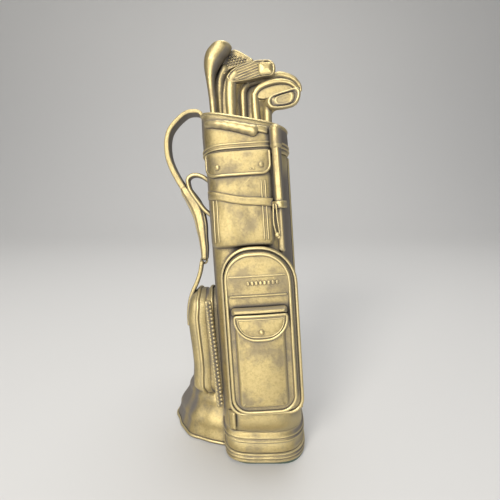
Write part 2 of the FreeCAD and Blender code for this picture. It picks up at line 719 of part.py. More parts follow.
def add_umbrella_cells():
    """Where the umbrella's axis stands, for the pieces that hang on it."""
    axis = umbrella_axis(0)
    row = len(DIMENSIONS) + 3
    for offset, (alias, value) in enumerate((("umbrella_across", axis.x), ("umbrella_front", -axis.y))):
        sheet.set(f"B{row + offset}", str(round(value, 3)))
        sheet.setAlias(f"B{row + offset}", alias)
    doc.recompute()


# ---------------------------------------------------------------- front pocket

GUSSET = dict(
    width="pocket_width", height="pocket_height", top_radius="pocket_crown",
    low_radius="pocket_corner", middle="pocket_middle", low="pocket_low",
)
POUCH = dict(
    width="pouch_width", height="pouch_height", top_radius="pouch_corner",
    low_radius="pouch_corner", middle="pouch_middle", low="pouch_low",
)
POUCH_FLAP = dict(
    width="pouch_flap_width", height="pouch_flap_height", top_radius="pouch_flap_corner",
    low_radius="pouch_flap_curve", middle="pouch_flap_middle", low="pouch_flap_low",
)


def make_front_pocket():
    gusset = doc.addObject("PartDesign::Body", "front_pocket_gusset")
    sketch = add_sketch(gusset, "XZ_Plane")
    rounded_outline(sketch, **GUSSET)
    add_pad(gusset, sketch, "gusset_face")
    carve_barrel(gusset)
    finish(gusset, "front_pocket_gusset")

    front_panel = dict(inset(GUSSET, "front_inset"), middle="front_middle", low_radius="front_curve")
    thick = "front_face - gusset_face"
    front_block("front_pocket_panel", [front_panel], "gusset_face", thick, "front_round")
    front_block(
        "gusset_piping", [GUSSET, inset(GUSSET, "cord_width")], "gusset_face", "welt_proud",
    )
    edge = inset(front_panel, "front_round")
    front_block("panel_piping", [edge, inset(edge, "piping_width")], "front_face", "welt_proud")


def make_label():
    band = dict(
        width="pocket_width - 2 * front_inset - 2 * front_round - 2 * piping_width",
        height="label_height", top_radius="small_round", low_radius="small_round",
        middle="front_middle", low="label_low",
    )
    front_block("label_band", [band], "front_face", "label_thick")
    beads = []
    for number in range(int(size("bead_count"))):
        across = size("bead_start") + number * size("bead_pitch")
        foot = FreeCAD.Vector(across, -(size("front_face") + size("label_thick")), size("bead_level"))
        beads.append(bag_cylinder(f"bead_{number}", "bead_radius", "bead_height", foot, foot - Y_AXIS))
    grouped("label_beads", beads)
    roll = dict(
        band, height="roll_height", top_radius="roll_curve", low_radius="roll_curve", low="roll_low",
    )
    front_block("padded_roll", [roll], "front_face", "roll_thick", "small_round")


def make_pouch():
    front_block("pouch", [POUCH], "front_face", "pouch_thick", "pouch_round")
    flap_start = "front_face + pouch_thick"
    front_block("pouch_flap", [POUCH_FLAP], flap_start, "pouch_flap_thick")
    front_block(
        "pouch_flap_piping", [POUCH_FLAP, inset(POUCH_FLAP, "piping_width")],
        f"{flap_start} + pouch_flap_thick", "label_thick",
    )
    face = size("front_face") + size("pouch_thick") + size("pouch_flap_thick")
    foot = FreeCAD.Vector(size("pouch_flap_middle"), -face, size("snap_level"))
    snap = bag_cylinder("snap", "stud_radius", "stud_height", foot, foot - Y_AXIS)
    finish(snap, "pouch_snap")


# ---------------------------------------------------------------- strips on the barrel

def make_strips():
    tab = dict(
        width="tab_width", height="tab_height", top_radius="0.6", low_radius="0.6",
        middle="tab_middle", low="tab_low",
    )
    wrapped_panel("lower_tab", [tab], "0", "tab_thick")
    zipper = dict(
        width="zip_width", height="zip_height", top_radius="1", low_radius="1",
        middle="zip_middle", low="zip_low",
    )
    wrapped_panel("braided_strip", [zipper], "0", "zip_thick")

    side_x = size("barrel_width") / 2 + size("rod_radius")
    foot = FreeCAD.Vector(side_x, size("rod_depth"), size("band_top") + 1)
    rod = bag_cylinder("side_rod", "rod_radius", "seam_low - band_top - 1", foot)
    finish(rod, "side_piping")

    spine = doc.addObject("PartDesign::Body", "spine_bar")
    sketch = add_sketch(spine, "XZ_Plane", start="0 - barrel_depth / 2 - spine_thick")
    rounded_outline(sketch, "spine_width", "seam_low", "0.5", "0.5")
    add_pad(spine, sketch, "spine_thick")
    cut_level(spine, "rear_spine")


# ---------------------------------------------------------------- side pocket

SIDE = dict(
    width="side_depth", height="side_height", top_radius="side_crown",
    low_radius="side_corner", middle="side_middle", low="side_low",
)


def make_side_pocket():
    pocket = doc.addObject("PartDesign::Body", "side_pocket")
    sketch = add_sketch(pocket, "YZ_Plane", start="0 - barrel_width / 4")
    rounded_outline(sketch, **SIDE)
    add_pad(pocket, sketch, "side_face - barrel_width / 4", backwards=True)
    face = -size("side_face")
    round_edges(pocket, "side_round", lambda edge: lies_at(edge.BoundBox.XMin, edge.BoundBox.XMax, face))
    carve_barrel(pocket)
    finish(pocket, "side_pocket")
    pieces = [pocket]
    for place in ("near", "far"):
        piping = doc.addObject("PartDesign::Body", f"side_piping_{place}_body")
        sketch = add_sketch(piping, "YZ_Plane", start=f"0 - side_piping_{place}")
        rounded_outline(sketch, **inset(SIDE, "( 0 - welt_proud )"))
        rounded_outline(sketch, **SIDE)
        add_pad(piping, sketch, "cord_width", backwards=True)
        pieces.append(finish(piping, f"side_pocket_piping_{place}"))
    return pieces


# ---------------------------------------------------------------- strap and handle

# Routes across the bag and along it: shoulder strap, its pad, the webbing and the carry handle.
STRAP_ROUTE = [
    (-21.6, 170.2), (-22.6, 173.4), (-28.0, 174.4), (-34.6, 170.6), (-40.0, 162.4),
    (-40.4, 152.2), (-37.0, 142.6), (-34.0, 136.6),
]
PAD_ROUTE = [(-34.0, 136.6), (-30.2, 128.4), (-27.0, 119.4), (-25.8, 110.4), (-25.6, 99.9)]
WEBBING_ROUTE = [(-25.9, 95.7), (-27.4, 91.0), (-30.4, 87.4), (-32.6, 84.2)]
HANDLE_ROUTE = [
    (-20.8, 139.4), (-22.8, 141.6), (-28.4, 142.0), (-30.2, 138.0), (-27.2, 130.0), (-23.6, 122.6),
    (-21.0, 120.8),
]


def make_strap():
    strap_piece("shoulder_strap", STRAP_ROUTE, "strap_thick", "strap_width")
    strap_piece("strap_pad", PAD_ROUTE, "pad_thick", "pad_width")
    strap_piece("strap_webbing", WEBBING_ROUTE, "webbing_thick", "webbing_width")
    strap_piece("carry_handle", HANDLE_ROUTE, "handle_thick", "handle_width")
    lower_end = FreeCAD.Vector(PAD_ROUTE[-1][0], size("strap_depth"), PAD_ROUTE[-1][1])
    ring = doc.addObject("Part::Torus", "strap_ring")
    ring.setExpression("Radius1", bound("strap_ring_radius"))
    ring.setExpression("Radius2", bound("strap_ring_wire"))
    reach_down = size("strap_ring_radius") + size("strap_ring_wire")
    drop = FreeCAD.Vector(size("strap_ring_shift"), 0, -reach_down)
    ring.Placement = FreeCAD.Placement(lower_end + drop, FreeCAD.Rotation(Z_AXIS, Y_AXIS))
    finish(ring, "strap_ring")


def make_grip():
    """The fat grip lies across the collar's front, thick at its right-hand end."""
    grip = doc.addObject("Part::Cone", "grip_cone")
    grip.setExpression("Radius1", bound("grip_thin"))
    grip.setExpression("Radius2", bound("grip_fat"))
    grip.setExpression("Height", bound("grip_length"))
    slope = math.radians(size("grip_slope"))
    outside = size("barrel_depth") / 2 + size("collar_proud")
    along = FreeCAD.Vector(math.cos(slope), 0, -math.sin(slope))
    foot = FreeCAD.Vector(size("grip_start"), -outside - size("grip_fat") * 0.8, size("grip_level"))
    grip.Placement = FreeCAD.Placement(foot, FreeCAD.Rotation(Z_AXIS, along))
    ends = []
    for name, radius, distance in (("thin", "grip_thin", 0.0), ("fat", "grip_fat", size("grip_length"))):
        end = doc.addObject("Part::Sphere", f"grip_{name}_end")
        end.setExpression("Radius", bound(radius))
        end.Placement.Base = foot + along * distance
        ends.append(end)
    whole = doc.addObject("Part::MultiFuse", "grip_whole")
    whole.Shapes = [grip] + ends
    collar_bulk = doc.addObject("PartDesign::Body", "collar_bulk")
    sketch = add_sketch(collar_bulk, "XY_Plane", start="barrel_top")
    plan_outline(sketch, "collar_proud")
    add_pad(collar_bulk, sketch, "reach")
    seated = doc.addObject("Part::Cut", "carry_grip")
    seated.Base = whole
    seated.Tool = collar_bulk
    finish(seated, "carry_grip")

    tab = dict(
        width="grip_tab_length", height="grip_tab_height", top_radius="grip_tab_height / 4",
        low_radius="grip_tab_height / 4", low="0 - grip_tab_height / 2",
    )
    wrapped_panel(
        "grip_tab", [tab], "collar_proud", "collar_proud + grip_tab_thick",
        tilt=-size("grip_slope"), pivot=("grip_tab_middle", "grip_tab_level"),
    )


# ---------------------------------------------------------------- hood on the table

def hood_outline(height):
    """The hood's full outline at one of its heights: low, mid or top."""
    return dict(
        width=f"hood_{height}_width", height=f"hood_{height}_depth", top_radius=f"hood_{height}_rear",
        low_radius=f"hood_{height}_curve", middle="hood_middle", low=f"hood_{height}_front",
    )


def beside_the_bag(piece, name, neighbours):
    """The part of a level piece that lies to the left of the bag, clear of its neighbours."""
    side = doc.addObject("Part::Box", name + "_side")
    side.setExpression("Length", bound("2 * reach"))
    side.setExpression("Width", bound("4 * reach"))
    side.setExpression("Height", bound("2 * reach"))
    corner = FreeCAD.Vector(size("hood_side") - 2 * size("reach"), -2 * size("reach"), 0)
    side.Placement = FreeCAD.Placement(corner, FreeCAD.Rotation())
    kept = doc.addObject("Part::Common", name + "_kept")
    kept.Base = piece
    kept.Tool = side
    for number, neighbour in enumerate(neighbours, start=1):
        cut = doc.addObject("Part::Cut", f"{name}_cut_{number}")
        cut.Base = kept
        cut.Tool = neighbour
        kept = cut
    doc.recompute()
    return kept


def make_hood(neighbours):
    bulk = doc.addObject("PartDesign::Body", "hood_bulk")
    sketches = []
    for height, level in (("low", "0"), ("mid", "hood_mid_level"), ("top", "hood_top_level")):
        sketch = add_sketch(bulk, "XY_Plane", start=level)
        rounded_outline(sketch, **hood_outline(height))
        sketches.append(sketch)
    loft = bulk.newObject("PartDesign::AdditiveLoft", "hood_loft")
    loft.Profile = sketches[0]
    loft.Sections = sketches[1:]
    doc.recompute()
    finish(beside_the_bag(bulk, "hood", neighbours), "draped_hood", leaned=False)

    hem = doc.addObject("PartDesign::Body", "hood_hem_ring")
    sketch = add_sketch(hem, "XY_Plane")
    rounded_outline(sketch, **inset(hood_outline("low"), "( 0 - hem_proud )"))
    rounded_outline(sketch, **hood_outline("low"))
    add_pad(hem, sketch, "hem_height")
    finish(beside_the_bag(hem, "hem", neighbours[:2]), "hood_hem", leaned=False)


# ---------------------------------------------------------------- clubs

# Each club: its shaft's foot (u, v) on the deck, the shaft's tip (u, v, s) and its radius.
SHAFTS = {
    "driver": ((-15.4, -3.0), (-14.8, -2.6, 197.0), 1.9),
    "dotted_iron": ((-12.0, 3.4), (-9.0, 3.2, 196.0), 1.7),
    "grooved_iron": ((-6.8, -5.0), (-5.2, -5.2, 188.0), 2.3),
    "hooked_iron": ((0.2, -1.0), (3.0, 0.4, 186.6), 1.9),
    "long_iron": ((5.7, -6.0), (6.2, -6.3, 180.6), 2.3),
    "slot_iron": ((11.4, -7.0), (14.0, -11.0, 174.0), 2.1),
}
# Iron heads: blade length, height and thickness, middle (u, v, s), slope in degrees.
BLADES = {
    "dotted_iron": (17.6, 7.6, 4.0, (0.2, 3.2, 197.2), 0.0),
    "grooved_iron": (23.0, 9.2, 4.6, (5.0, -5.5, 189.9), 9.0),
    "hooked_iron": (26.0, 5.0, 4.0, (16.4, 0.6, 187.0), -4.0),
    "long_iron": (25.0, 6.4, 4.4, (15.5, -6.5, 181.2), 0.0),
    "slot_iron": (17.2, 8.0, 4.8, (20.2, -11.6, 174.3), 8.0),
}


def deck_level(u):
    """Height of the slanted club deck at a place across the bag."""
    return size("rim_height") - size("deck_below_rim") - u * math.tan(math.radians(size("rim_slant")))


def make_shaft(name):
    (foot_u, foot_v), tip, radius = SHAFTS[name]
    foot = FreeCAD.Vector(foot_u, foot_v, deck_level(foot_u))
    tip = FreeCAD.Vector(*tip)
    shaft = doc.addObject("Part::Cylinder", f"{name}_shaft")
    shaft.Radius = radius
    shaft.Height = (tip - foot).Length
    shaft.Placement = FreeCAD.Placement(foot, FreeCAD.Rotation(Z_AXIS, tip - foot))
    return shaft


def make_driver():
    """The wooden club: its shaft runs into a rounded head."""
    head = doc.addObject("Part::Ellipsoid", "driver_head")
    head.setExpression("Radius1", bound("driver_height / 2"))
    head.setExpression("Radius2", bound("driver_width / 2"))
    head.setExpression("Radius3", bound("driver_depth / 2"))
    middle = FreeCAD.Vector(size("driver_across"), size("driver_in"), size("driver_level"))
    head.Placement = FreeCAD.Placement(middle, FreeCAD.Rotation(Y_AXIS, size("driver_slope")))
    club = doc.addObject("Part::Fuse", "club_driver")
    club.Base = make_shaft("driver")
    club.Tool = head
    finish(club, "club_driver")


def make_iron(name):
    """An iron club: its shaft runs into the heel of a flat blade."""
    length, height, thick, middle, slope = BLADES[name]
    blade = doc.addObject("PartDesign::Body", f"{name}_blade")
    sketch = add_sketch(blade, "XZ_Plane", start=f"0 - {thick} / 2")
    rounded_outline(
        sketch, f"{length}", f"{height}", "2.6", "1.8", low=f"0 - {height} / 2",
    )
    add_pad(blade, sketch, f"{thick}")
    blade.Placement = FreeCAD.Placement(FreeCAD.Vector(*middle), FreeCAD.Rotation(Y_AXIS, -slope))
    club = doc.addObject("Part::Fuse", f"club_{name}")
    club.Base = make_shaft(name)
    club.Tool = blade
    finish(club, f"club_{name}")


def make_clubs():
    make_driver()
    for name in BLADES:
        make_iron(name)


# ---------------------------------------------------------------- the whole ornament

add_shear_cells()
add_umbrella_cells()
foot_pieces = make_foot()
barrel_shell = make_barrel()
make_upper_pocket()
make_belt()
make_umbrella()
make_front_pocket()
make_label()
make_pouch()
make_strips()
side_pocket_pieces = make_side_pocket()
make_strap()
make_grip()
make_hood(foot_pieces + [barrel_shell] + side_pocket_pieces)
make_clubs()
doc.recompute()

faulty = [o.Label for o in doc.Objects if {"Invalid", "Error"} & set(o.State)]
faulty += [o.Label for o in NODES if o.Shape.isNull() or not o.Shape.isValid() or not o.Shape.Solids]
if faulty:
    raise RuntimeError("faulty sub-parts: " + ", ".join(faulty))

os.makedirs("parts", exist_ok=True)
for node in NODES:
    node.Shape.exportStep(f"parts/{node.Label}.step")
print(len(NODES), "sub-parts written")
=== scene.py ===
"""Looks of the golf bag ornament: an antique brass casting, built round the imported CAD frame.

Shapes are drawn in the bag's own frame in millimetres (u across, v depth, s along the barrel),
then leaned as the CAD bag is and turned into metres.
"""
import math
from collections import namedtuple

import bmesh
import bpy
from mathutils import Matrix, Vector


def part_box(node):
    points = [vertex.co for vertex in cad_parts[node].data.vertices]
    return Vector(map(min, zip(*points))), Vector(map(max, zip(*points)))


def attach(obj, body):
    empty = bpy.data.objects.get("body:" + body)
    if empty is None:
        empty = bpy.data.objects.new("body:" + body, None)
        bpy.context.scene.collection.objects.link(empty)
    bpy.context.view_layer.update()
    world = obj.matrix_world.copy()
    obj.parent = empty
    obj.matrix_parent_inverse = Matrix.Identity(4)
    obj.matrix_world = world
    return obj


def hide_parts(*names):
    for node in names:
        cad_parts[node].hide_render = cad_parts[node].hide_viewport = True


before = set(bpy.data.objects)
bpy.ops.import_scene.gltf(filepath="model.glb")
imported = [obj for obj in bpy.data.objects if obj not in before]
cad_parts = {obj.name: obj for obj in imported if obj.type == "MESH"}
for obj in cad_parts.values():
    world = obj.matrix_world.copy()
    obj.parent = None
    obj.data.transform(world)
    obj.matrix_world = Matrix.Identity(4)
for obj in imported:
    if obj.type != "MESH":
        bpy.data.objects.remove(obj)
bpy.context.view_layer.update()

MM = 0.001
LEAN_LEFT, LEAN_BACK = math.radians(3.8), math.radians(10.0)
LEAN = Matrix.Rotation(-LEAN_LEFT, 4, "Y") @ Matrix.Rotation(-LEAN_BACK, 4, "X")
UPRIGHT = LEAN.inverted()
LEVEL = Matrix.Identity(4)
GRAIN = 0.9          # usual distance between mesh points


# ---- places from the frame

Place = namedtuple("Place", "x y z")


class Box:
    """A node's box: its two corners, its middle and its size."""

    def __init__(self, low, high):
        self.low, self.high = low, high
        self.middle = Place(*((a + b) / 2 for a, b in zip(low, high)))
        self.size = Place(*(b - a for a, b in zip(low, high)))


def bag_box(node):
    """A CAD node's box in the bag's own upright frame, in millimetres."""
    points = [UPRIGHT @ vertex.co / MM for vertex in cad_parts[node].data.vertices]
    low = Vector(min(p[axis] for p in points) for axis in range(3))
    high = Vector(max(p[axis] for p in points) for axis in range(3))
    return Box(low, high)


def level_box(node):
    """A level CAD node's box, in millimetres."""
    low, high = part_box(node)
    return Box(low / MM, high / MM)


# ---- camera, floor and light

CAMERA_DOWN = 13.8   # degrees that the camera looks below the horizon


def make_camera():
    data = bpy.data.cameras.new("camera")
    data.sensor_width = 36.0
    data.lens = 26.0
    data.clip_start = 0.01
    camera = bpy.data.objects.new("camera", data)
    camera.location = Vector((-8.0, -166.0, 145.0)) * MM
    camera.rotation_euler = (math.radians(90.0 - CAMERA_DOWN), 0.0, 0.0)
    bpy.context.scene.collection.objects.link(camera)
    bpy.context.scene.camera = camera


def make_lamp(name, place, aim, size, power, tint=(1.0, 1.0, 1.0)):
    data = bpy.data.lights.new(name, "AREA")
    data.shape = "DISK"
    data.size = size
    data.energy = power
    data.color = tint
    lamp = bpy.data.objects.new(name, data)
    lamp.location = place
    lamp.rotation_euler = (Vector(aim) - Vector(place)).to_track_quat("-Z", "Y").to_euler()
    bpy.context.scene.collection.objects.link(lamp)


def make_stage():
    """A pale floor that curves up behind the bag, and soft studio lamps."""
    reach, curve_start, curve = 2.4, 0.5, 0.5
    profile = [(-reach, 0.0), (curve_start, 0.0)]
    for step in range(1, 13):
        angle = math.radians(90.0 * step / 12)
        profile.append((curve_start + curve * math.sin(angle), curve * (1 - math.cos(angle))))
    profile.append((curve_start + curve, 2.0))
    points = [(x, y, z) for y, z in profile for x in (-reach, reach)]
    faces = [(2 * k, 2 * k + 1, 2 * k + 3, 2 * k + 2) for k in range(len(profile) - 1)]
    mesh = bpy.data.meshes.new("floor")
    mesh.from_pydata(points, [], faces)
    mesh.polygons.foreach_set("use_smooth", [True] * len(mesh.polygons))
    floor = bpy.data.objects.new("floor", mesh)
    bpy.context.scene.collection.objects.link(floor)
    material = bpy.data.materials.new("floor_pale")
    material.use_nodes = True
    shader = material.node_tree.nodes["Principled BSDF"]
    shader.inputs["Base Color"].default_value = (0.62, 0.61, 0.59, 1.0)
    shader.inputs["Roughness"].default_value = 0.7
    mesh.materials.append(material)

    world = bpy.data.worlds.new("studio")
    world.use_nodes = True
    backdrop = world.node_tree.nodes["Background"]
    backdrop.inputs["Color"].default_value = (0.60, 0.62, 0.66, 1.0)
    backdrop.inputs["Strength"].default_value = 0.42
    bpy.context.scene.world = world
    bpy.context.scene.view_settings.view_transform = "Standard"

    middle = (0.0, 0.02, 0.10)
    make_lamp("key_softbox", (-0.45, -0.75, 0.75), middle, 0.45, 7.5, (1.0, 0.97, 0.92))
    make_lamp("front_softbox", (-0.05, -0.95, 0.25), middle, 0.5, 4.0)
    make_lamp("top_softbox", (0.05, 0.2, 0.95), middle, 0.6, 5.0)


# ---- materials

class Nodes:
    """Short-hand for wiring one material's node tree."""

    def __init__(self, name):
        self.material = bpy.data.materials.new(name)
        self.material.use_nodes = True
        self.tree = self.material.node_tree
        self.shader = self.tree.nodes["Principled BSDF"]

    def add(self, kind, **inputs):
        node = self.tree.nodes.new(kind)
        for name, value in inputs.items():
            self.feed(node.inputs[name.replace("_", " ")], value)
        return node

    def feed(self, socket, value):
        if isinstance(value, bpy.types.NodeSocket):
            self.tree.links.new(value, socket)
        else:
            socket.default_value = value

    def math(self, operation, first, second=0.0, clamp=False):
        node = self.tree.nodes.new("ShaderNodeMath")
        node.operation = operation
        node.use_clamp = clamp
        self.feed(node.inputs[0], first)
        self.feed(node.inputs[1], second)
        return node.outputs[0]

    def ramp(self, value, low, high, dark=0.0, light=1.0):
        """Value from low..high turned smoothly into dark..light."""
        node = self.tree.nodes.new("ShaderNodeMapRange")
        node.interpolation_type = "SMOOTHSTEP"
        self.feed(node.inputs["Value"], value)
        for name, number in zip(("From Min", "From Max", "To Min", "To Max"), (low, high, dark, light)):
            node.inputs[name].default_value = number
        return node.outputs["Result"]

    def facing(self, normal, way):
        """How squarely a surface faces a way: 1 when it does, 0 when side on."""
        node = self.tree.nodes.new("ShaderNodeVectorMath")
        node.operation = "DOT_PRODUCT"
        self.feed(node.inputs[0], normal)
        node.inputs[1].default_value = way
        return node.outputs["Value"]

    def mix(self, share, first, second):
        node = self.tree.nodes.new("ShaderNodeMix")
        node.data_type = "RGBA"
        self.feed(node.inputs["Factor"], share)
        self.feed(node.inputs[6], first)
        self.feed(node.inputs[7], second)
        return node.outputs[2]


RUBBED = (0.52, 0.40, 0.17, 1.0)
# Pale gold for polished high points, which also serves as painted highlight.
POLISH_AND_HIGHLIGHT = (0.80, 0.67, 0.36, 1.0)
PATINA = (0.19, 0.168, 0.143, 1.0)
# Near-black painted shade for crevices, darker than the patina.
PAINTED_RECESS_SHADE = (0.020, 0.014, 0.009, 1.0)
LIT_AND_RUBBED_WAY = Vector((-0.25, -0.93, 0.25)).normalized()   # the way the rubbed sides face, which is also the key lamp's side: brightness there is rubbed wear and painted light together
REAR_RUB = Vector((0.10, 0.97, 0.20)).normalized()


def antique_brass(name, rub_and_light, weave=0.0):
    """Cast brass with a dark patina, rubbed bright on what faces outwards; the bright metal on sides turned
    to the key lamp and the patina left on the right side are painted light and shade as well as wear.

    The second argument moves the share of bright metal, rubbed wear and painted light together; weave is
    the depth of a cloth pattern in the casting.
    """
    n = Nodes(name)
    place = n.add("ShaderNodeTexCoord").outputs["Object"]
    mapping = n.add("ShaderNodeMapping", Vector=place)
    mapping.inputs["Rotation"].default_value = (LEAN_BACK, LEAN_LEFT, 0.0)
    mapping.inputs["Scale"].default_value = (1000.0, 1000.0, 1000.0)
    spot = mapping.outputs["Vector"]

    clouds = n.add("ShaderNodeTexNoise", Vector=spot, Scale=0.09, Detail=4.0, Roughness=0.6).outputs["Fac"]
    specks = n.add("ShaderNodeTexNoise", Vector=spot, Scale=0.9, Detail=6.0, Roughness=0.7).outputs["Fac"]
    pits = n.add("ShaderNodeTexNoise", Vector=spot, Scale=3.2, Detail=3.0, Roughness=0.6).outputs["Fac"]

    geometry = n.add("ShaderNodeNewGeometry")
    # Painted light: surfaces turned front-left-up, towards the key lamp, become bright metal and the right
    # side stays dark as painted shade; the rear lobe adds wear on the back.
    front, rear = (n.facing(geometry.outputs["Normal"], way) for way in (LIT_AND_RUBBED_WAY, REAR_RUB))
    front = n.ramp(front, 0.90 - 0.5 * rub_and_light, 1.06 - 0.3 * rub_and_light)
    rear = n.ramp(rear, 0.80 - 0.2 * rub_and_light, 1.0, 0.0, 0.6)
    outward = n.math("MAXIMUM", front, rear)

    nook = n.tree.nodes.new("ShaderNodeAmbientOcclusion")
    nook.samples = 8
    nook.inputs["Distance"].default_value = 3.0 * MM
    shade = n.ramp(nook.outputs["AO"], 0.62, 0.97)
    # hollow marks the crevices that are painted near-black: painted shade in the recesses, over the patina
    # there.
    hollow = n.ramp(nook.outputs["AO"], 0.30, 0.74)
    edge = n.ramp(geometry.outputs["Pointiness"], 0.505, 0.56)

    speckle = n.ramp(specks, 0.30, 0.62)
    # The bright share is rubbed wear plus painted light from the facing mask, with wear on sharp edges and
    # patina kept in the hollows.
    wear_and_painted_light = n.math("MULTIPLY", outward, n.ramp(clouds, 0.34, 0.58, 0.42, 1.0))
    wear_and_painted_light = n.math("ADD", wear_and_painted_light, n.math("MULTIPLY", edge, 0.35), clamp=True)
    wear_and_painted_light = n.math("MULTIPLY", wear_and_painted_light, n.ramp(specks, 0.22, 0.5, 0.72, 1.0))
    wear_and_painted_light = n.math("MULTIPLY", wear_and_painted_light, shade)

    colour = n.mix(wear_and_painted_light, PATINA, RUBBED)
    # Pale gold on lit, rubbed specks and on sharp edges: polished wear and painted highlight together.
    colour = n.mix(n.math("MULTIPLY", n.math("MULTIPLY", wear_and_painted_light, speckle), 0.35), colour, POLISH_AND_HIGHLIGHT)
    colour = n.mix(n.math("MULTIPLY", edge, 0.5), colour, POLISH_AND_HIGHLIGHT)
    # Painted shade: crevices go near-black.
    colour = n.mix(hollow, PAINTED_RECESS_SHADE, colour)
    n.feed(n.shader.inputs["Base Color"], colour)
    n.feed(n.shader.inputs["Metallic"], n.ramp(wear_and_painted_light, 0.0, 0.6, 0.45, 1.0))
    rough = n.ramp(wear_and_painted_light, 0.0, 1.0, 0.62, 0.44)
    rough = n.math("ADD", rough, n.math("MULTIPLY", n.math("SUBTRACT", specks, 0.5), 0.22), clamp=True)
    n.feed(n.shader.inputs["Roughness"], rough)

    height = n.math("MULTIPLY", pits, 0.5)
    height = n.math("ADD", height, n.math("MULTIPLY", specks, 0.9))
    if weave:
        axes = n.add("ShaderNodeSeparateXYZ", Vector=spot)
        warp = n.math("SINE", n.math("MULTIPLY", axes.outputs["X"], 2.0 * math.pi / 0.62))
        weft = n.math("SINE", n.math("MULTIPLY", axes.outputs["Z"], 2.0 * math.pi / 0.55))
        cloth = n.math("ADD", n.math("MULTIPLY", warp, weft), n.math("MULTIPLY", weft, 0.6))
        height = n.math("ADD", height, n.math("MULTIPLY", cloth, weave))
    bump = n.add("ShaderNodeBump", Height=height)
    bump.inputs["Strength"].default_value = 0.5
    bump.inputs["Distance"].default_value = 0.16 * MM
    n.feed(n.shader.inputs["Normal"], bump.outputs["Normal"])
    return n.material


def felt():
    n = Nodes("green_felt")
    place = n.add("ShaderNodeTexCoord").outputs["Object"]
    fibres = n.add("ShaderNodeTexNoise", Vector=place, Scale=2600.0, Detail=5.0).outputs["Fac"]
    n.feed(n.shader.inputs["Base Color"], n.mix(fibres, (0.02, 0.045, 0.03, 1), (0.06, 0.11, 0.075, 1)))
    n.shader.inputs["Roughness"].default_value = 0.95
    n.shader.inputs["Sheen Weight"].default_value = 0.4
    bump = n.add("ShaderNodeBump", Height=fibres)
    bump.inputs["Distance"].default_value = 0.2 * MM
    n.feed(n.shader.inputs["Normal"], bump.outputs["Normal"])
    return n.material


def dull_steel():
    n = Nodes("dull_steel")
    place = n.add("ShaderNodeTexCoord").outputs["Object"]
    stretched = n.add("ShaderNodeMapping", Vector=place)
    stretched.inputs["Scale"].default_value = (300.0, 6000.0, 300.0)
    grain = n.add("ShaderNodeTexNoise", Vector=stretched.outputs["Vector"], Scale=1.0, Detail=4.0)
    grain = grain.outputs["Fac"]
    n.feed(n.shader.inputs["Base Color"], n.mix(grain, (0.22, 0.21, 0.2, 1), (0.42, 0.41, 0.4, 1)))
    n.shader.inputs["Metallic"].default_value = 1.0
    n.feed(n.shader.inputs["Roughness"], n.ramp(grain, 0.3, 0.7, 0.35, 0.55))
    return n.material


CLOTH = antique_brass("brass_cloth", rub_and_light=0.62, weave=0.5)
PLAIN = antique_brass("brass_plain", rub_and_light=0.55)
ROPE = antique_brass("brass_piping", rub_and_light=0.85)
AGED = antique_brass("brass_aged", rub_and_light=0.42, weave=0.25)
BRAID = antique_brass("brass_braid", rub_and_light=0.1)


# ---- mesh building

class Solid:
    """Points and faces of one piece, gathered in millimetres."""

    def __init__(self):
        self.points = []
        self.faces = []

    def rows(self, rows, caps=True):
        """A skin through rows of points with the same count; caps close each end by one face."""
        start, count = len(self.points), len(rows[0])
        for row in rows:
            self.points.extend(Vector(point) for point in row)
        for r in range(len(rows) - 1):
            for c in range(count):
                here, there = start + r * count, start + (r + 1) * count
                following = (c + 1) % count
                self.faces.append((here + c, here + following, there + following, there + c))
        if caps:
            self.faces.append(tuple(start + c for c in reversed(range(count))))
            last = start + (len(rows) - 1) * count
            self.faces.append(tuple(last + c for c in range(count)))
        return self

    def sweep(self, route, section, across=(0, 1, 0), scale=None, closed=False):
        """A skin that carries the section along the route, with round ends unless it is closed.

        across is the direction that the section's first axis keeps to; scale(t) gives its size.
        """
        across = Vector(across)
        rows, last = [], len(route) - 1
        for index, point in enumerate(route):
            before = route[index - 1] if closed or index else route[index]
            after = route[(index + 1) % len(route)] if closed or index < last else route[index]
            along = (after - before).normalized()
            side = (across - along * across.dot(along)).normalized()
            out = along.cross(side)
            size = scale(index / last) if scale else (1.0, 1.0)
            rows.append([point + side * a * size[0] + out * b * size[1] for a, b in section])
        if closed:
            return self.rows(rows + rows[:1], caps=False)
        return self.rows(dome(rows, route))

    def cast(self, node, material, dark=False, lean=LEAN, name=None, also=()):
        """The finished piece: in metres, leaned, on the root body, standing for its CAD node.

        also lists further CAD nodes that it stands for; the name follows the node's by default.
        """
        name = name or f"{node}_cast"
        mesh = bpy.data.meshes.new(name)
        mesh.from_pydata([lean @ (point * MM) for point in self.points], [], self.faces)
        work = bmesh.new()
        work.from_mesh(mesh)
        bmesh.ops.remove_doubles(work, verts=work.verts, dist=0.004 * MM)
        bmesh.ops.dissolve_degenerate(work, edges=work.edges, dist=0.002 * MM)
        bmesh.ops.recalc_face_normals(work, faces=work.faces)
        work.to_mesh(mesh)
        work.free()
        mesh.polygons.foreach_set("use_smooth", [True] * len(mesh.polygons))
        mesh.materials.append(material)
        piece = bpy.data.objects.new(name, mesh)
        bpy.context.scene.collection.objects.link(piece)
        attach(piece, "root")
        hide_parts(node, *also)


def blend(stations, t, column):
    """A column's value at t, between rows of numbers that start with their own t."""
    for before, after in zip(stations, stations[1:]):
        if t <= after[0]:
            break
    share = max(0.0, min(1.0, (t - before[0]) / (after[0] - before[0])))
    share = share * share * (3 - 2 * share)
    return before[column] * (1 - share) + after[column] * share


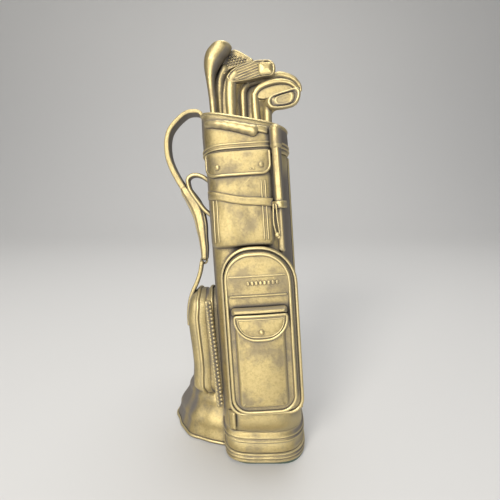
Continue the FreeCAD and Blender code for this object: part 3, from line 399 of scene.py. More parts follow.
def smooth_route(points, spacing=GRAIN, closed=False):
    """A Catmull-Rom line through the points, sampled about every spacing."""
    points = [Vector(point) for point in points]
    count = len(points)
    spans = count if closed else count - 1
    route = []
    for index in range(spans):
        if closed:
            p0, p1, p2, p3 = (points[(index + k - 1) % count] for k in range(4))
        else:
            p1, p2 = points[index], points[index + 1]
            p0 = points[index - 1] if index else p1 * 2 - p2
            p3 = points[index + 2] if index + 2 < count else p2 * 2 - p1
        steps = max(2, round((p2 - p1).length / spacing))
        for step in range(steps):
            t = step / steps
            route.append(0.5 * (
                2 * p1 + (p2 - p0) * t + (2 * p0 - 5 * p1 + 4 * p2 - p3) * t * t
                + (3 * p1 - p0 - 3 * p2 + p3) * t ** 3
            ))
    if not closed:
        route.append(points[-1])
    return route


def spaced(route):
    """The same route without points that nearly coincide with the one before."""
    return [p for i, p in enumerate(route) if i == 0 or (p - route[i - 1]).length > 0.05]


def turns(count):
    """The angles of a full turn in equal steps."""
    return [2 * math.pi * step / count for step in range(count)]


def oval(width, thick, square=2.0, count=16):
    """A section of a swept piece: (across, outwards) points; square above 2 flattens its sides."""
    section = []
    for angle in turns(count):
        c, s = math.cos(angle), math.sin(angle)
        section.append((
            width / 2 * math.copysign(abs(c) ** (2 / square), c),
            thick / 2 * math.copysign(abs(s) ** (2 / square), s),
        ))
    return section


def dome(rows, route):
    """Round both ends of a swept skin."""
    def shrunk(row, centre, share, shift):
        return [centre + (point - centre) * share + shift for point in row]

    def end(row, centre, outwards):
        reach = min((point - centre).length for point in row)
        steps = [(math.cos(a), math.sin(a)) for a in (0.35, 0.75, 1.15, 1.5)]
        return [shrunk(row, centre, c, outwards * reach * s) for c, s in steps]

    first = end(rows[0], route[0], (route[0] - route[1]).normalized())
    final = end(rows[-1], route[-1], (route[-1] - route[-2]).normalized())
    return first[::-1] + rows + final


# ---- the barrel's plan

HALF_WIDTH, HALF_DEPTH = 20.25, 17.5
RIGHT_SQUARE, LEFT_SQUARE = 2.9, 3.8


def plan_radius(u, square):
    """Distance of the barrel's front from its axis at a place across it."""
    return HALF_DEPTH * (1 - min(1.0, abs(u) / HALF_WIDTH) ** square) ** (1 / square)


def plan_curve():
    """Points and outward normals round the barrel's plan, evenly spaced."""
    count = 220
    dense = []
    for step in range(1440):
        angle = 2 * math.pi * step / 1440
        c, s = math.cos(angle), math.sin(angle)
        power = 2 / (RIGHT_SQUARE if c > 0 else LEFT_SQUARE)
        dense.append(Vector((
            HALF_WIDTH * math.copysign(abs(c) ** power, c),
            HALF_DEPTH * math.copysign(abs(s) ** power, s),
            0,
        )))
    lengths = [0.0]
    for index in range(len(dense)):
        lengths.append(lengths[-1] + (dense[(index + 1) % len(dense)] - dense[index]).length)
    points, index = [], 0
    for step in range(count):
        target = lengths[-1] * step / count
        while lengths[index + 1] < target:
            index += 1
        share = (target - lengths[index]) / (lengths[index + 1] - lengths[index])
        points.append(dense[index].lerp(dense[(index + 1) % len(dense)], share))
    normals = []
    for index in range(count):
        along = points[(index + 1) % count] - points[index - 1]
        normals.append(Vector((along.y, -along.x, 0)).normalized())
    return list(zip(points, normals))


PLAN = plan_curve()


def front_place(u):
    """The barrel's front surface at a place across it, and its outward normal."""
    step = 0.1
    u = max(step - HALF_WIDTH, min(HALF_WIDTH - step, u))
    square = RIGHT_SQUARE if u > 0 else LEFT_SQUARE
    slope = (plan_radius(u + step / 2, square) - plan_radius(u - step / 2, square)) / step
    return Vector((u, -plan_radius(u, square), 0)), Vector((-slope, -1, 0)).normalized()


def on_barrel(base):
    """Maps (u, s, height) to a point straight in front of the barrel, that far over a layer."""
    def place(u, s, height):
        return front_place(u)[0] + Vector((0, -(base + height), s))
    return place


def on_front(base, middle=0.0, half=16.0, bow=0.0):
    """Maps (u, s, height) to a point in front of the bag; bow rounds the face back at its sides."""
    def place(u, s, height):
        return Vector((u, -(base + height) + bow * ((u - middle) / half) ** 2, s))
    return place


def ring_band(stations):
    """Rows round the whole barrel; each station is (level, or its function of u, how far proud)."""
    rows = []
    for level, proud in stations:
        row = []
        for point, normal in PLAN:
            spot = point + normal * proud
            row.append(Vector((spot.x, spot.y, level(spot.x) if callable(level) else level)))
        rows.append(row)
    return rows


# ---- rounded outlines and relief

Outline = namedtuple("Outline", "middle low width height crown corner right_crown", defaults=(None,))
CORNER_STEPS = 9


def grown(shape, amount):
    """The same outline, larger by amount all round; both its crowns become equal."""
    return Outline(
        shape.middle, shape.low - amount, shape.width + 2 * amount, shape.height + 2 * amount,
        shape.crown + amount, shape.corner + amount,
    )


def outline_ring(shape, inset=0.0):
    """Points round a rounded outline drawn smaller by inset; their count doesn't change."""
    half = min(shape.width, shape.height) / 2
    inset = min(inset, half * 0.9995)
    left, right = shape.middle - shape.width / 2 + inset, shape.middle + shape.width / 2 - inset
    low, top = shape.low + inset, shape.low + shape.height - inset
    shrink = 1 - inset / half

    def radius(size, limit):
        return min(max(size - inset, size * shrink * 0.4), limit)

    half_width, high_limit = (right - left) / 2, top - low
    crown = radius(shape.crown, min(half_width, high_limit / 2))
    right_crown = radius(shape.right_crown or shape.crown, min(half_width, high_limit - crown))
    corner = radius(shape.corner, min(half_width, high_limit - max(crown, right_crown)))
    wide = max(3, round(shape.width / GRAIN))
    high = max(3, round(shape.height / GRAIN))
    corners = [
        (right - corner, low + corner, corner, -90),
        (right - right_crown, top - right_crown, right_crown, 0),
        (left + crown, top - crown, crown, 90),
        (left + corner, low + corner, corner, 180),
    ]
    ring = []
    for index, (x, y, radius, angle) in enumerate(corners):
        for step in range(CORNER_STEPS + 1):
            turn = math.radians(angle + 90 * step / CORNER_STEPS)
            ring.append((x + radius * math.cos(turn), y + radius * math.sin(turn)))
        nx, ny, next_radius, next_angle = corners[(index + 1) % 4]
        turn = math.radians(next_angle)
        start, end = ring[-1], (nx + next_radius * math.cos(turn), ny + next_radius * math.sin(turn))
        count = high if index in (0, 2) else wide
        for step in range(1, count):
            share = step / count
            ring.append((
                start[0] + (end[0] - start[0]) * share,
                start[1] + (end[1] - start[1]) * share,
            ))
    return ring


def relief(solid, shape, profile, place, crown=0.0, detail=None):
    """A raised panel: profile lists (inset, height) from its buried rear edge to its face.

    Inside the last profile ring the face swells by crown; detail(u, s) adds local height.
    """
    half = min(shape.width, shape.height) / 2
    last_inset, last_height = profile[-1]
    steps = max(2, math.ceil((half - last_inset) / GRAIN))
    rings = list(profile)
    for step in range(1, steps + 1):
        q = step / steps
        rings.append((last_inset + (half - last_inset) * q, last_height + crown * (1 - (1 - q) ** 2)))
    rows = []
    for inset, height in rings:
        row = []
        for u, s in outline_ring(shape, inset):
            extra = detail(u, s) if detail and inset > 0.6 and height > 0 else 0.0
            row.append(place(u, s, height + extra))
        rows.append(row)
    solid.rows(rows, caps=False)
    start = len(solid.points) - len(rows) * len(rows[0])
    solid.faces.append(tuple(start + c for c in reversed(range(len(rows[0])))))
    return solid


def edge_cord(solid, shape, inset, radius, place, height):
    """A slightly flat piping that follows an outline."""
    flat = 0.8
    route = [place(u, s, height) for u, s in outline_ring(shape, inset)]
    section = oval(2 * radius * flat, 2 * radius, count=10)
    solid.sweep(spaced(route), section, (0, -1, 0), closed=True)


def button(solid, centre, outwards, radius, height):
    """A small domed stud."""
    outwards = Vector(outwards).normalized()
    side = outwards.orthogonal().normalized()
    up = outwards.cross(side)
    rows = []
    for share, rise in ((1.0, -1.0), (1.08, 0.0), (1.0, 0.35), (0.82, 0.7), (0.5, 0.93), (0.16, 1.0)):
        rows.append([
            centre + outwards * height * rise
            + (side * math.cos(a) + up * math.sin(a)) * radius * share
            for a in turns(18)
        ])
    solid.rows(rows)
    return solid


def outline_of(node, crown, corner):
    """The outline of a front-facing CAD node, read from the frame."""
    box = bag_box(node)
    return Outline(box.middle.x, box.low.z, box.size.x, box.size.z, crown, corner)


# ---- foot

def make_foot():
    foot = level_box("foot_ring")
    shear_x, shear_y = math.tan(LEAN_LEFT), math.tan(LEAN_BACK)
    grow_x = foot.size.x / 2 / HALF_WIDTH
    grow_y = foot.size.y / 2 / HALF_DEPTH

    def ring(level, proud):
        row = []
        for point, normal in PLAN:
            x = point.x * grow_x + normal.x * proud
            y = point.y * grow_y + normal.y * proud
            row.append(Vector((x - level * shear_x, y + level * shear_y, level)))
        return row

    # For each piece: (height over its lower edge, how far proud), from the bottom up.
    profiles = {
        "foot_ring": [
            (0, -1.2), (0, -0.5), (0.3, -0.1), (1.2, -0.1), (1.7, -0.4), (2.1, 0.0), (2.5, 0.25),
            (2.9, 0.0), (3.3, -0.4), (3.7, -0.3), (4.0, 0.1), (4.3, 0.2), (4.6, -0.2), (4.6, -4.0),
        ],
        "base_boot": [
            (0, -4.0), (0, -0.8), (0.6, -0.55), (2.4, -0.4), (4.8, -0.5), (5.3, -0.7), (5.3, -4.0),
        ],
        "boot_top_band": [
            (0, -4.0), (0, -0.5), (0.4, 0.0), (0.8, 0.25), (1.2, 0.0), (1.6, -0.5), (2.1, -0.45),
            (2.4, 0.0), (2.8, 0.25), (3.2, 0.0), (3.7, -0.5), (4.5, -0.8), (5.1, -1.4), (5.1, -6.0),
        ],
    }
    for node, profile in profiles.items():
        low = level_box(node).low.z
        Solid().rows([ring(low + rise, proud) for rise, proud in profile]).cast(node, CLOTH, lean=LEVEL)


# ---- barrel and collar

RIM_SLANT = math.tan(math.radians(13.0))
WALL = 2.6


def rim_level(height):
    """Level of the slanted rim, lower to the right."""
    return lambda u: height - u * RIM_SLANT


def make_barrel():
    seam, collar = bag_box("collar_seam"), bag_box("collar")
    rim = collar.high.z - HALF_WIDTH * RIM_SLANT
    bottom, top, turned_in = 12.0, seam.low.z + 2.0, -3.0
    levels = [(bottom, turned_in), (bottom, 0.0)]
    levels += [(level, 0.0) for level in range(20, 146, 6)]
    levels += [(top, 0.0), (top, turned_in)]
    Solid().rows(ring_band(levels)).cast("barrel_shell", CLOTH, name="barrel_cast")

    solid = Solid()
    low = seam.low.z

    def droop(base):
        return lambda u: base - 1.1 * (abs(u) / HALF_WIDTH) ** 5

    # Height over the line's lower edge, and how far proud it is there.
    profile = [(-0.1, -0.6), (0, 0.6), (0.3, 1.2), (0.7, 1.45), (1.1, 1.2), (1.4, 0.6), (1.5, -0.6)]
    for start in (low + 3.6, low + 5.5):
        solid.rows(ring_band([(droop(start + rise), proud) for rise, proud in profile]))
    solid.cast("collar_seam", ROPE, also=["collar_ledge"])

    def collar_level(share):
        return lambda u: (low + 1.0) * (1 - share) + rim_level(rim)(u) * share

    rows = [(collar_level(0.0), -WALL), (collar_level(0.0), 0.5)]
    rows += [(collar_level(k / 14), 0.75 + 0.25 * math.sin(math.pi * k / 14)) for k in range(1, 14)]
    rows += [(collar_level(1.0), 0.8)]
    rows += [(collar_level(1.0), -WALL), (lambda u: rim_level(rim)(u) - 7.0, -WALL)]
    Solid().rows(ring_band(rows), caps=False).cast("collar", CLOTH)

    rows = []
    for step in range(13):
        angle = 2 * math.pi * step / 12
        level, proud = rim + 0.45 + 0.75 * math.sin(angle), -0.55 + 1.75 * math.cos(angle)
        rows.append((rim_level(level), proud))
    Solid().rows(ring_band(rows), caps=False).cast("rim_bead", ROPE)


def make_grip():
    box = bag_box("carry_grip")
    left, right = box.low.x + 1.0, box.high.x - 2.0
    top = box.high.z - 1.9
    route = []
    for step in range(40):
        share = step / 39
        u = left + (right - left) * share
        lift = plan_radius(u, RIGHT_SQUARE if u > 0 else LEFT_SQUARE)
        route.append(Vector((u, -(lift + 1.4), top - (u - left) * RIM_SLANT + 0.5 * math.sin(3.1 * share))))

    def girth(t):
        """Thin at the left, ribbed, fat at the right."""
        body = 0.62 + 0.42 * t ** 0.8 + 0.03 * math.sin(34 * t)
        return body, body

    Solid().sweep(route, oval(4.0, 5.0, count=18), scale=girth).cast("carry_grip", PLAIN)

    tab = bag_box("grip_tab")
    shape = Outline(0.0, -1.6, tab.size.x, 3.0, 0.9, 0.9)
    middle = Vector((tab.middle.x, 0, tab.middle.z))
    place = on_barrel(1.0)

    def slanted(u, s, height):
        return place(middle.x + u, middle.z + s - u * RIM_SLANT, height)

    relief(Solid(), shape, [(0, -1.0), (0, 0.7), (0.3, 1.05)], slanted).cast("grip_tab", PLAIN)


# ---- upper pocket and belt

LEFT_WELT_TOP = 127.0


def make_upper_pocket():
    place = on_barrel(0.0)
    flap = outline_of("upper_flap", 1.4, 4.4)
    shape = outline_of("upper_pocket", 2.0, 3.2)
    low_left = Vector((shape.middle - shape.width / 2 + 6.0, shape.low + 7.0))

    def fullness(u, s):
        """The pocket sags full at its lower left, and is gathered under the belt."""
        sag = 1.5 * math.exp(-((u - low_left.x) / 9.0) ** 2 - ((s - low_left.y) / 8.0) ** 2)
        soft = 0.5 * math.exp(-((s - shape.low - 6.0) / 6.0) ** 2)
        ripple = 0.12 * math.sin(0.9 * u + 0.25 * s) * math.exp(-((s - shape.low - 18.0) / 16.0) ** 2)
        return sag + soft + ripple

    relief(
        Solid(), shape, [(0, -1.0), (0, 1.3), (0.35, 2.0), (1.0, 2.35), (1.8, 2.4)], place, 0.25, fullness,
    ).cast("upper_pocket", CLOTH)

    for side, top in (("left", LEFT_WELT_TOP), ("right", flap.low - 3.0)):
        welt = bag_box(f"pocket_welt_{side}")
        middle, low = welt.middle.x, shape.low + 3.0
        levels = [low + (top - low) * k / 40 for k in range(41)]
        solid = Solid()
        for apart in (-0.9, 0.9):
            route = [on_barrel(2.45)(middle + apart, s, fullness(middle, s)) for s in levels]
            solid.sweep(route, oval(0.9, 0.9, count=8), (1, 0, 0))
        solid.cast(f"pocket_welt_{side}", ROPE)

    flap = flap._replace(height=flap.height + 2.4)
    solid = relief(Solid(), flap, [(0, 1.0), (0, 3.0), (0.4, 3.5), (1.2, 3.6)], place, 0.3)
    solid.cast("upper_flap", CLOTH)
    ring = outline_ring(flap, 0.5)
    covered = [index for index, (u, s) in enumerate(ring) if s > flap.low + flap.height - 0.9]
    hanging = ring[covered[-1] + 1:] + ring[:covered[0]]
    route = [place(u, s, 3.6) for u, s in hanging]
    Solid().sweep(spaced(route), oval(1.1, 1.3, count=10), (0, -1, 0)).cast("upper_flap_piping", ROPE)

    studs = Solid()
    box = bag_box("flap_studs")
    for u in (box.low.x + 3.2, box.high.x - 0.9):
        point, normal = front_place(u)
        centre = point + normal * 3.8 + Vector((0, 0, box.middle.z))
        button(studs, centre, normal, 1.25, 0.8)
    for u in (1.6, 3.0):
        point, normal = front_place(u)
        button(studs, point + normal * 3.75 + Vector((0, 0, flap.low + 2.6)), normal, 0.45, 0.3)
    studs.cast("flap_studs", ROPE)


def make_belt():
    box = bag_box("belt")
    slope = -math.tan(math.radians(10.4))
    middle = Vector((box.middle.x, 0, box.middle.z))
    shape = Outline(0.0, -1.9, box.size.x + 1.0, 3.8, 0.6, 0.6)
    place = on_barrel(2.5)

    def slanted(u, s, height):
        sag = 0.9 * math.sin(math.pi * (u / shape.width + 0.5)) ** 2 - 0.4
        return place(middle.x + u, middle.z + s + u * slope - sag, height)

    relief(Solid(), shape, [(0, -1.2), (0, 0.6), (0.3, 1.0), (0.8, 1.2)], slanted).cast("belt", CLOTH)


# ---- umbrella

def make_umbrella():
    roll, cap, stem = bag_box("umbrella_roll"), bag_box("umbrella_cap"), bag_box("umbrella_stem")
    axis = Vector((roll.middle.x, roll.middle.y, 0))

    def upright(low, high, radius, folds=0.0, taper=1.0):
        route = [axis + Vector((0, 0, low + (high - low) * k / 60)) for k in range(61)]
        rows = []
        for index, point in enumerate(route):
            share = index / 60
            row = []
            for angle in turns(36):
                size = radius * (1 + (taper - 1) * (1 - share))
                size *= 1 + folds * math.sin(5 * angle + 2.2 * share)
                row.append(point + Vector((math.cos(angle), math.sin(angle), 0)) * size)
            rows.append(row)
        return dome(rows, route)

    Solid().rows(upright(roll.low.z, roll.high.z, 2.2, 0.05)).cast("umbrella_roll", PLAIN)
    Solid().rows(upright(stem.low.z, stem.high.z, 1.95, 0.04, 0.85)).cast("umbrella_stem", PLAIN, dark=True)
    Solid().rows(upright(cap.low.z, cap.high.z - 2.6, 2.7, 0.0, 1.02)).cast("umbrella_cap", AGED, dark=True)

    ring = bag_box("umbrella_ring")
    centre = (ring.low + ring.high) / 2
    route = [centre + Vector((2.95 * math.cos(a), 2.95 * math.sin(a), 0)) for a in turns(40)]
    Solid().sweep(route, oval(3.2, 1.3, 3.0), (0, 0, 1), closed=True).cast("umbrella_ring", PLAIN)

    tail = bag_box("belt_tail")
    x, front = tail.middle.x, tail.middle.y
    low, top = tail.low.z, tail.high.z
    loop = smooth_route([
        (x - 1.0, front, top), (x - 1.3, front - 0.2, low + 8), (x - 0.2, front, low + 2.2),
        (x + 0.8, front, low + 0.8), (x + 1.0, front, low + 3.5), (x + 0.5, front - 0.2, low + 9),
        (x + 0.2, front, top),
    ], 0.6)
    solid = Solid().sweep(loop, oval(1.3, 0.8, 3.0), (0, 1, 0))
    button(solid, Vector((x + 0.1, front - 0.4, low + 2.2)), (0, -1, 0), 1.1, 0.6)
    solid.cast("belt_tail", PLAIN, dark=True)


# ---- front pocket

def make_front_pocket():
    gusset = outline_of("front_pocket_gusset", 14.0, 7.0)._replace(right_crown=18.0)
    face = -bag_box("front_pocket_gusset").low.y
    place = on_front(0.0, gusset.middle, gusset.width / 2, 0.9)
    relief(
        Solid(), gusset,
        [(0, 4.0), (0, face - 6.0), (0, face - 1.2), (0.3, face - 0.4), (0.9, face), (3.0, face - 0.1)],
        place,
    ).cast("front_pocket_gusset", PLAIN)

    solid = Solid()
    edge_cord(solid, gusset, 0.75, 0.85, place, face + 0.1)
    solid.cast("gusset_piping", ROPE)

    panel = outline_of("front_pocket_panel", 12.4, 8.0)._replace(right_crown=14.0)
    front = -bag_box("front_pocket_panel").low.y
    place = on_front(0.0, panel.middle, panel.width / 2, 0.7)
    roll = bag_box("padded_roll")

    def hollow(u, s):
        """The panel dips between the label band and the pouch, and swells at its top."""
        dip = -0.7 * math.exp(-((s - (roll.high.z - 2.6)) / 2.6) ** 2)
        swell = 0.5 * math.exp(-((s - panel.low - panel.height + 11.0) / 7.0) ** 2)
        return dip + swell

    relief(
        Solid(), panel,
        [(0, face - 2.0), (0, front - 1.3), (0.4, front - 0.6), (1.2, front - 0.2), (2.2, front - 0.3)],
        place, 0.2, hollow,
    ).cast("front_pocket_panel", CLOTH)
    solid = Solid()
    edge_cord(solid, panel, 0.9, 0.8, place, front - 0.1)
    solid.cast("panel_piping", ROPE)


def make_label():
    """Two raised lines with a plain row of lozenges between them, in place of any name."""
    band = bag_box("label_band")
    front = -bag_box("front_pocket_panel").low.y
    middle, half = band.middle.x, band.size.x / 2
    place = on_front(front, middle, half, 0.7)
    solid = Solid()
    shape = Outline(middle, band.low.z, 2 * half, band.size.z, 0.4, 0.4)
    relief(solid, shape, [(0, -1.0), (0, -0.1), (0.2, 0.1)], place)
    for level in (band.low.z, band.high.z):
        route = [place(middle - half + 2 * half * k / 30, level, 0.15) for k in range(31)]
        solid.sweep(route, oval(1.3, 1.0, count=10), (0, 1, 0))
    solid.cast("label_band", CLOTH)

    row = bag_box("label_beads")
    solid = Solid()
    count = 8
    for index in range(count):
        u = row.low.x + 0.8 + (row.size.x - 1.6) * index / (count - 1)
        lozenge = Outline(u, row.middle.z - 1.0, 1.55, 2.0, 0.7, 0.7)
        relief(solid, lozenge, [(0, -0.6), (0, 0.5), (0.2, 0.8), (0.4, 0.85)], place)
    solid.cast("label_beads", ROPE)

    box = bag_box("padded_roll")
    shape = Outline(middle, box.low.z - 0.8, box.size.x, box.size.z + 0.8, 1.4, 1.4)
    solid = relief(Solid(), shape, [(0, -1.2), (0, 1.4), (0.4, 2.5), (1.0, 3.3)], place, 0.4)
    solid.cast("padded_roll", CLOTH)


def make_pouch():
    front = -bag_box("front_pocket_panel").low.y
    pouch = outline_of("pouch", 2.2, 2.4)
    place = on_front(front, pouch.middle, pouch.width / 2, 0.6)

    def folds(u, s):
        """Two upright pleats and a slack belly."""
        left = pouch.middle - pouch.width / 2
        pleats = -0.35 * math.exp(-((u - left - 2.2) / 0.45) ** 2)
        pleats -= 0.3 * math.exp(-((u - left - pouch.width + 2.0) / 0.45) ** 2)
        belly = 0.5 * math.exp(-((s - pouch.low - 12.0) / 12.0) ** 2 - ((u - pouch.middle) / 8.0) ** 2)
        return pleats + belly

    relief(
        Solid(), pouch, [(0, -1.5), (0, 0.8), (0.4, 1.6), (1.0, 2.0), (1.6, 2.1)], place, 0.3, folds,
    ).cast("pouch", CLOTH)

    flap = outline_of("pouch_flap", 1.6, 11.4)
    solid = relief(Solid(), flap, [(0, 0.5), (0, 2.9), (0.3, 3.4), (1.0, 3.6)], place, 0.4)
    solid.cast("pouch_flap", CLOTH)
    solid = Solid()
    edge_cord(solid, flap, 0.55, 0.62, place, 3.65)
    edge_cord(solid, flap, 2.0, 0.3, place, 3.8)
    solid.cast("pouch_flap_piping", ROPE)
    box = bag_box("pouch_snap")
    centre = Vector((box.middle.x, -(front + 4.0), box.middle.z))
    button(Solid(), centre, (0, -1, 0), 1.2, 0.8).cast("pouch_snap", ROPE)


# ---- strips on the barrel

def make_strips():
    place = on_barrel(0.0)
    tab = outline_of("lower_tab", 0.7, 0.7)
    relief(Solid(), tab, [(0, -1.0), (0, 1.7), (0.4, 2.4), (0.9, 2.6)], place, 0.2).cast("lower_tab", PLAIN)

    strip = bag_box("braided_strip")
    depth = strip.low.y - 0.6
    low = Vector((strip.low.x - 1.6, depth, strip.low.z))
    high = Vector((strip.low.x - 4.0, depth, strip.high.z))
    solid = Solid().sweep(smooth_route([low, high]), oval(3.4, 1.6, 3.0), (1, 0.6, 0))
    teeth = int((high - low).length / 1.9)
    for index in range(teeth):
        spot = low.lerp(high, (index + 0.5) / teeth)
        for side in (-0.8, 0.8):
            centre = spot + Vector((side, -0.6 + 0.3 * side, 0.45 * side))
            button(solid, centre, (-0.4, -0.9, 0), 0.75, 0.7)
    solid.cast("braided_strip", BRAID, dark=True)

    piping = bag_box("side_piping")
    x, y = piping.middle.x, piping.middle.y
    height = piping.size.z
    route = [Vector((x - 0.2, y, piping.low.z + height * k / 80)) for k in range(81)]
    Solid().sweep(route, oval(1.7, 1.5, count=12), (0, 1, 0)).cast("side_piping", ROPE)

    spine = bag_box("rear_spine")
    shape = Outline(0.0, spine.low.z, spine.size.x, spine.size.z, 1.0, 1.0)

    def rear(u, s, height):
        return Vector((u, HALF_DEPTH - 0.3 + height, s))

    profile = [(0, -1.0), (0, 1.0), (0.5, 1.5), (1.2, 1.6), (1.6, 1.3), (2.0, 1.3), (2.4, 1.6)]
    relief(Solid(), shape, profile, rear, 0.1).cast("rear_spine", CLOTH, dark=True)


# ---- side pocket

def make_side_pocket():
    box = bag_box("side_pocket")
    face = -box.low.x
    shape = Outline(box.middle.y, box.low.z, box.size.y, box.size.z, 9.5, 6.0)
    # Share of the height, and how far the outer face stands out there.
    belly = [(0.0, -2.0), (0.1, 0.4), (0.3, -0.4), (0.75, 0.7), (0.9, -0.6), (1.0, -2.4)]

    def outwards(v, s, height):
        bow = 1.4 * ((v - shape.middle) / (shape.width / 2)) ** 2
        share = max(0.0, height - 18.0) / (face - 18.0)
        swell = blend(belly, (s - shape.low) / shape.height, 1) * share
        return Vector((-(height - bow + swell), v, s))

    relief(
        Solid(), shape,
        [(0, 15.0), (0, 20.0), (0, 25.2), (0.5, 25.8), (0.5, 26.6), (0, 27.2), (0, face - 3.0),
         (0.5, face - 1.6), (1.4, face - 0.6), (2.6, face)],
        outwards, 0.4,
    ).cast("side_pocket", CLOTH)
    for end in ("near", "far"):
        node = f"side_pocket_piping_{end}"
        piping = bag_box(node)
        level = -piping.middle.x
        route = spaced([outwards(v, s, level) for v, s in outline_ring(grown(shape, 0.3))])
        solid = Solid().sweep(route, oval(1.8, 1.5, count=12), (1, 0, 0), closed=True)
        solid.cast(node, ROPE, name=f"side_piping_{end}_cast")


# ---- strap and handle

STRAP_DEPTH = 2.0
STRAP_ROUTE = [
    (-20.4, 170.0), (-22.4, 173.4), (-26.0, 174.2), (-29.4, 173.6), (-32.6, 171.6), (-36.0, 168.6),
    (-38.6, 165.2), (-40.0, 161.0), (-40.4, 156.4), (-40.0, 151.4), (-38.4, 146.0), (-36.2, 141.0),
    (-33.8, 136.4),
]
PAD_ROUTE = [
    (-34.4, 137.6), (-32.6, 134.6), (-29.8, 130.0), (-27.6, 125.0), (-26.2, 119.0), (-25.6, 112.0),
    (-25.2, 104.0), (-25.4, 99.4),
]
WEBBING_ROUTE = [
    (-26.8, 97.0), (-28.0, 92.0), (-30.0, 87.0), (-32.4, 82.4), (-34.4, 77.0), (-35.4, 71.0), (-35.6, 65.0),
]
HANDLE_ROUTE = [
    (-20.4, 139.0), (-23.4, 141.2), (-26.4, 142.2), (-29.2, 141.8), (-31.0, 139.8), (-30.4, 135.4),
    (-28.3, 131.4), (-25.6, 127.2), (-23.4, 124.0), (-20.6, 121.4),
]


def strap_route(points, depth=STRAP_DEPTH):
    return smooth_route([(u, depth, s) for u, s in points], 0.8)


def make_strap():
    def opening(t):
        """The strap is thin at the rim and thickens towards its pad."""
        return 1.0, 0.8 + 0.5 * t

    solid = Solid().sweep(strap_route(STRAP_ROUTE), oval(8.5, 2.6, 5.0, 24), scale=opening)
    solid.cast("shoulder_strap", CLOTH)

    widths = [(0.0, 0.45), (0.12, 0.86), (0.3, 1.0), (0.55, 0.86), (0.8, 0.62), (1.0, 0.5)]

    def belly(t):
        return 1.0, blend(widths, t, 1)

    section = oval(8.0, 7.4, 3.4, 40)
    stitched = [(a - math.copysign(0.5, a) if 1.9 < abs(b) < 2.8 else a, b) for a, b in section]
    Solid().sweep(strap_route(PAD_ROUTE), stitched, scale=belly).cast("strap_pad", AGED)

    solid = Solid().sweep(strap_route(WEBBING_ROUTE, -1.0), oval(4.5, 2.1, 4.0, 16))
    solid.cast("strap_webbing", CLOTH, dark=True)
    Solid().sweep(strap_route(HANDLE_ROUTE, 0.4), oval(6.4, 2.3, 3.0, 18)).cast("carry_handle", PLAIN)

    ring = bag_box("strap_ring")
    centre = (ring.low + ring.high) / 2
    radius, wire = ring.size.x / 2 - 0.6, 1.2
    circle = [centre + Vector((radius * math.cos(a), -1.0, radius * math.sin(a))) for a in turns(36)]
    Solid().sweep(circle, oval(wire, wire, count=12), closed=True).cast("strap_ring", ROPE)


# ---- hood on the table

def make_hood():
    """A soft hood slumped against the bag: the left part of an oval outline, closed beside the bag."""
    box = level_box("draped_hood")
    side, middle_x = box.high.x - 0.1, -16.0
    height = box.size.z
    rear = box.high.y
    # Share of the height, how far the left side reaches out of the middle, and the front's place.
    stations = [
        (0.0, 0.98, 0.0), (0.15, 0.92, 1.8), (0.35, 0.77, 6.0), (0.55, 0.63, 11.0), (0.8, 0.42, 17.0),
        (1.0, 0.24, 21.0),
    ]
    reach = middle_x - box.low.x
    count, levels = 120, 60

    def ring(t, grow=0.0):
        wide = reach * blend(stations, t, 1) + grow
        front = box.low.y + blend(stations, t, 2) - grow
        back = rear - 13.0 * t ** 1.5
        centre_y, deep = (front + back) / 2, (back - front) / 2
        limit = math.acos(min(0.95, (middle_x - side) / wide))
        row = []
        for k in range(count + 1):
            angle = -limit + 2 * limit * k / count
            fade = 1 - abs(angle / limit) ** 6
            fold = 0.02 * math.sin(7 * angle + 0.9 + 1.6 * t) + 0.008 * math.sin(16 * angle + 2.0 - 3.0 * t)
            fold += 0.02 * math.sin(9.0 * t + 2.5 * angle) * t
            size = 1 + (fold - 0.02) * fade
            row.append(Vector((
                middle_x - wide * math.cos(angle) * size,
                centre_y + deep * math.sin(angle) * size,
                box.low.z + height * t,
            )))
        return row

    rows = [ring(k / levels) for k in range(levels + 1)]
    tip = sum(rows[-1], Vector()) / (count + 1)
    for share, rise in ((0.86, 0.9), (0.6, 1.6), (0.25, 2.0)):
        rows.append([tip + (p - tip) * share + Vector((0, 0, rise)) for p in rows[levels]])
    Solid().rows(rows).cast("draped_hood", AGED, dark=True, lean=LEVEL)

    hem_route = [p + Vector((0, 0, 0.9)) for p in ring(0.0, 0.2)]
    solid = Solid().sweep(hem_route, oval(1.7, 1.3, count=10), (0, 0, 1))
    edge = [ring(step / 20, 0.2)[2] for step in range(1, 11)]
    solid.sweep(edge, oval(1.2, 1.2, count=10), (1, 0, 0))
    solid.cast("hood_hem", ROPE, dark=True, lean=LEVEL)


# ---- clubs
# Shafts are (across, depth, along the bag); outlines of heads are (across, along the bag).

def deck_level(u):
    collar = bag_box("collar")
    return collar.high.z + collar.low.x * RIM_SLANT - 5.3 - u * RIM_SLANT


def club_sweep(solid, points, radii, flat=1.0):
    """A rod whose radius follows radii along the points; flat narrows it from front to back."""
    route = smooth_route(points, 0.7)

    def size(t):
        place = t * (len(radii) - 1)
        low = min(int(place), len(radii) - 2)
        share = place - low
        share = share * share * (3 - 2 * share)
        radius = radii[low] * (1 - share) + radii[low + 1] * share
        return radius * flat, radius

    solid.sweep(route, oval(2.0, 2.0, count=20), scale=size)


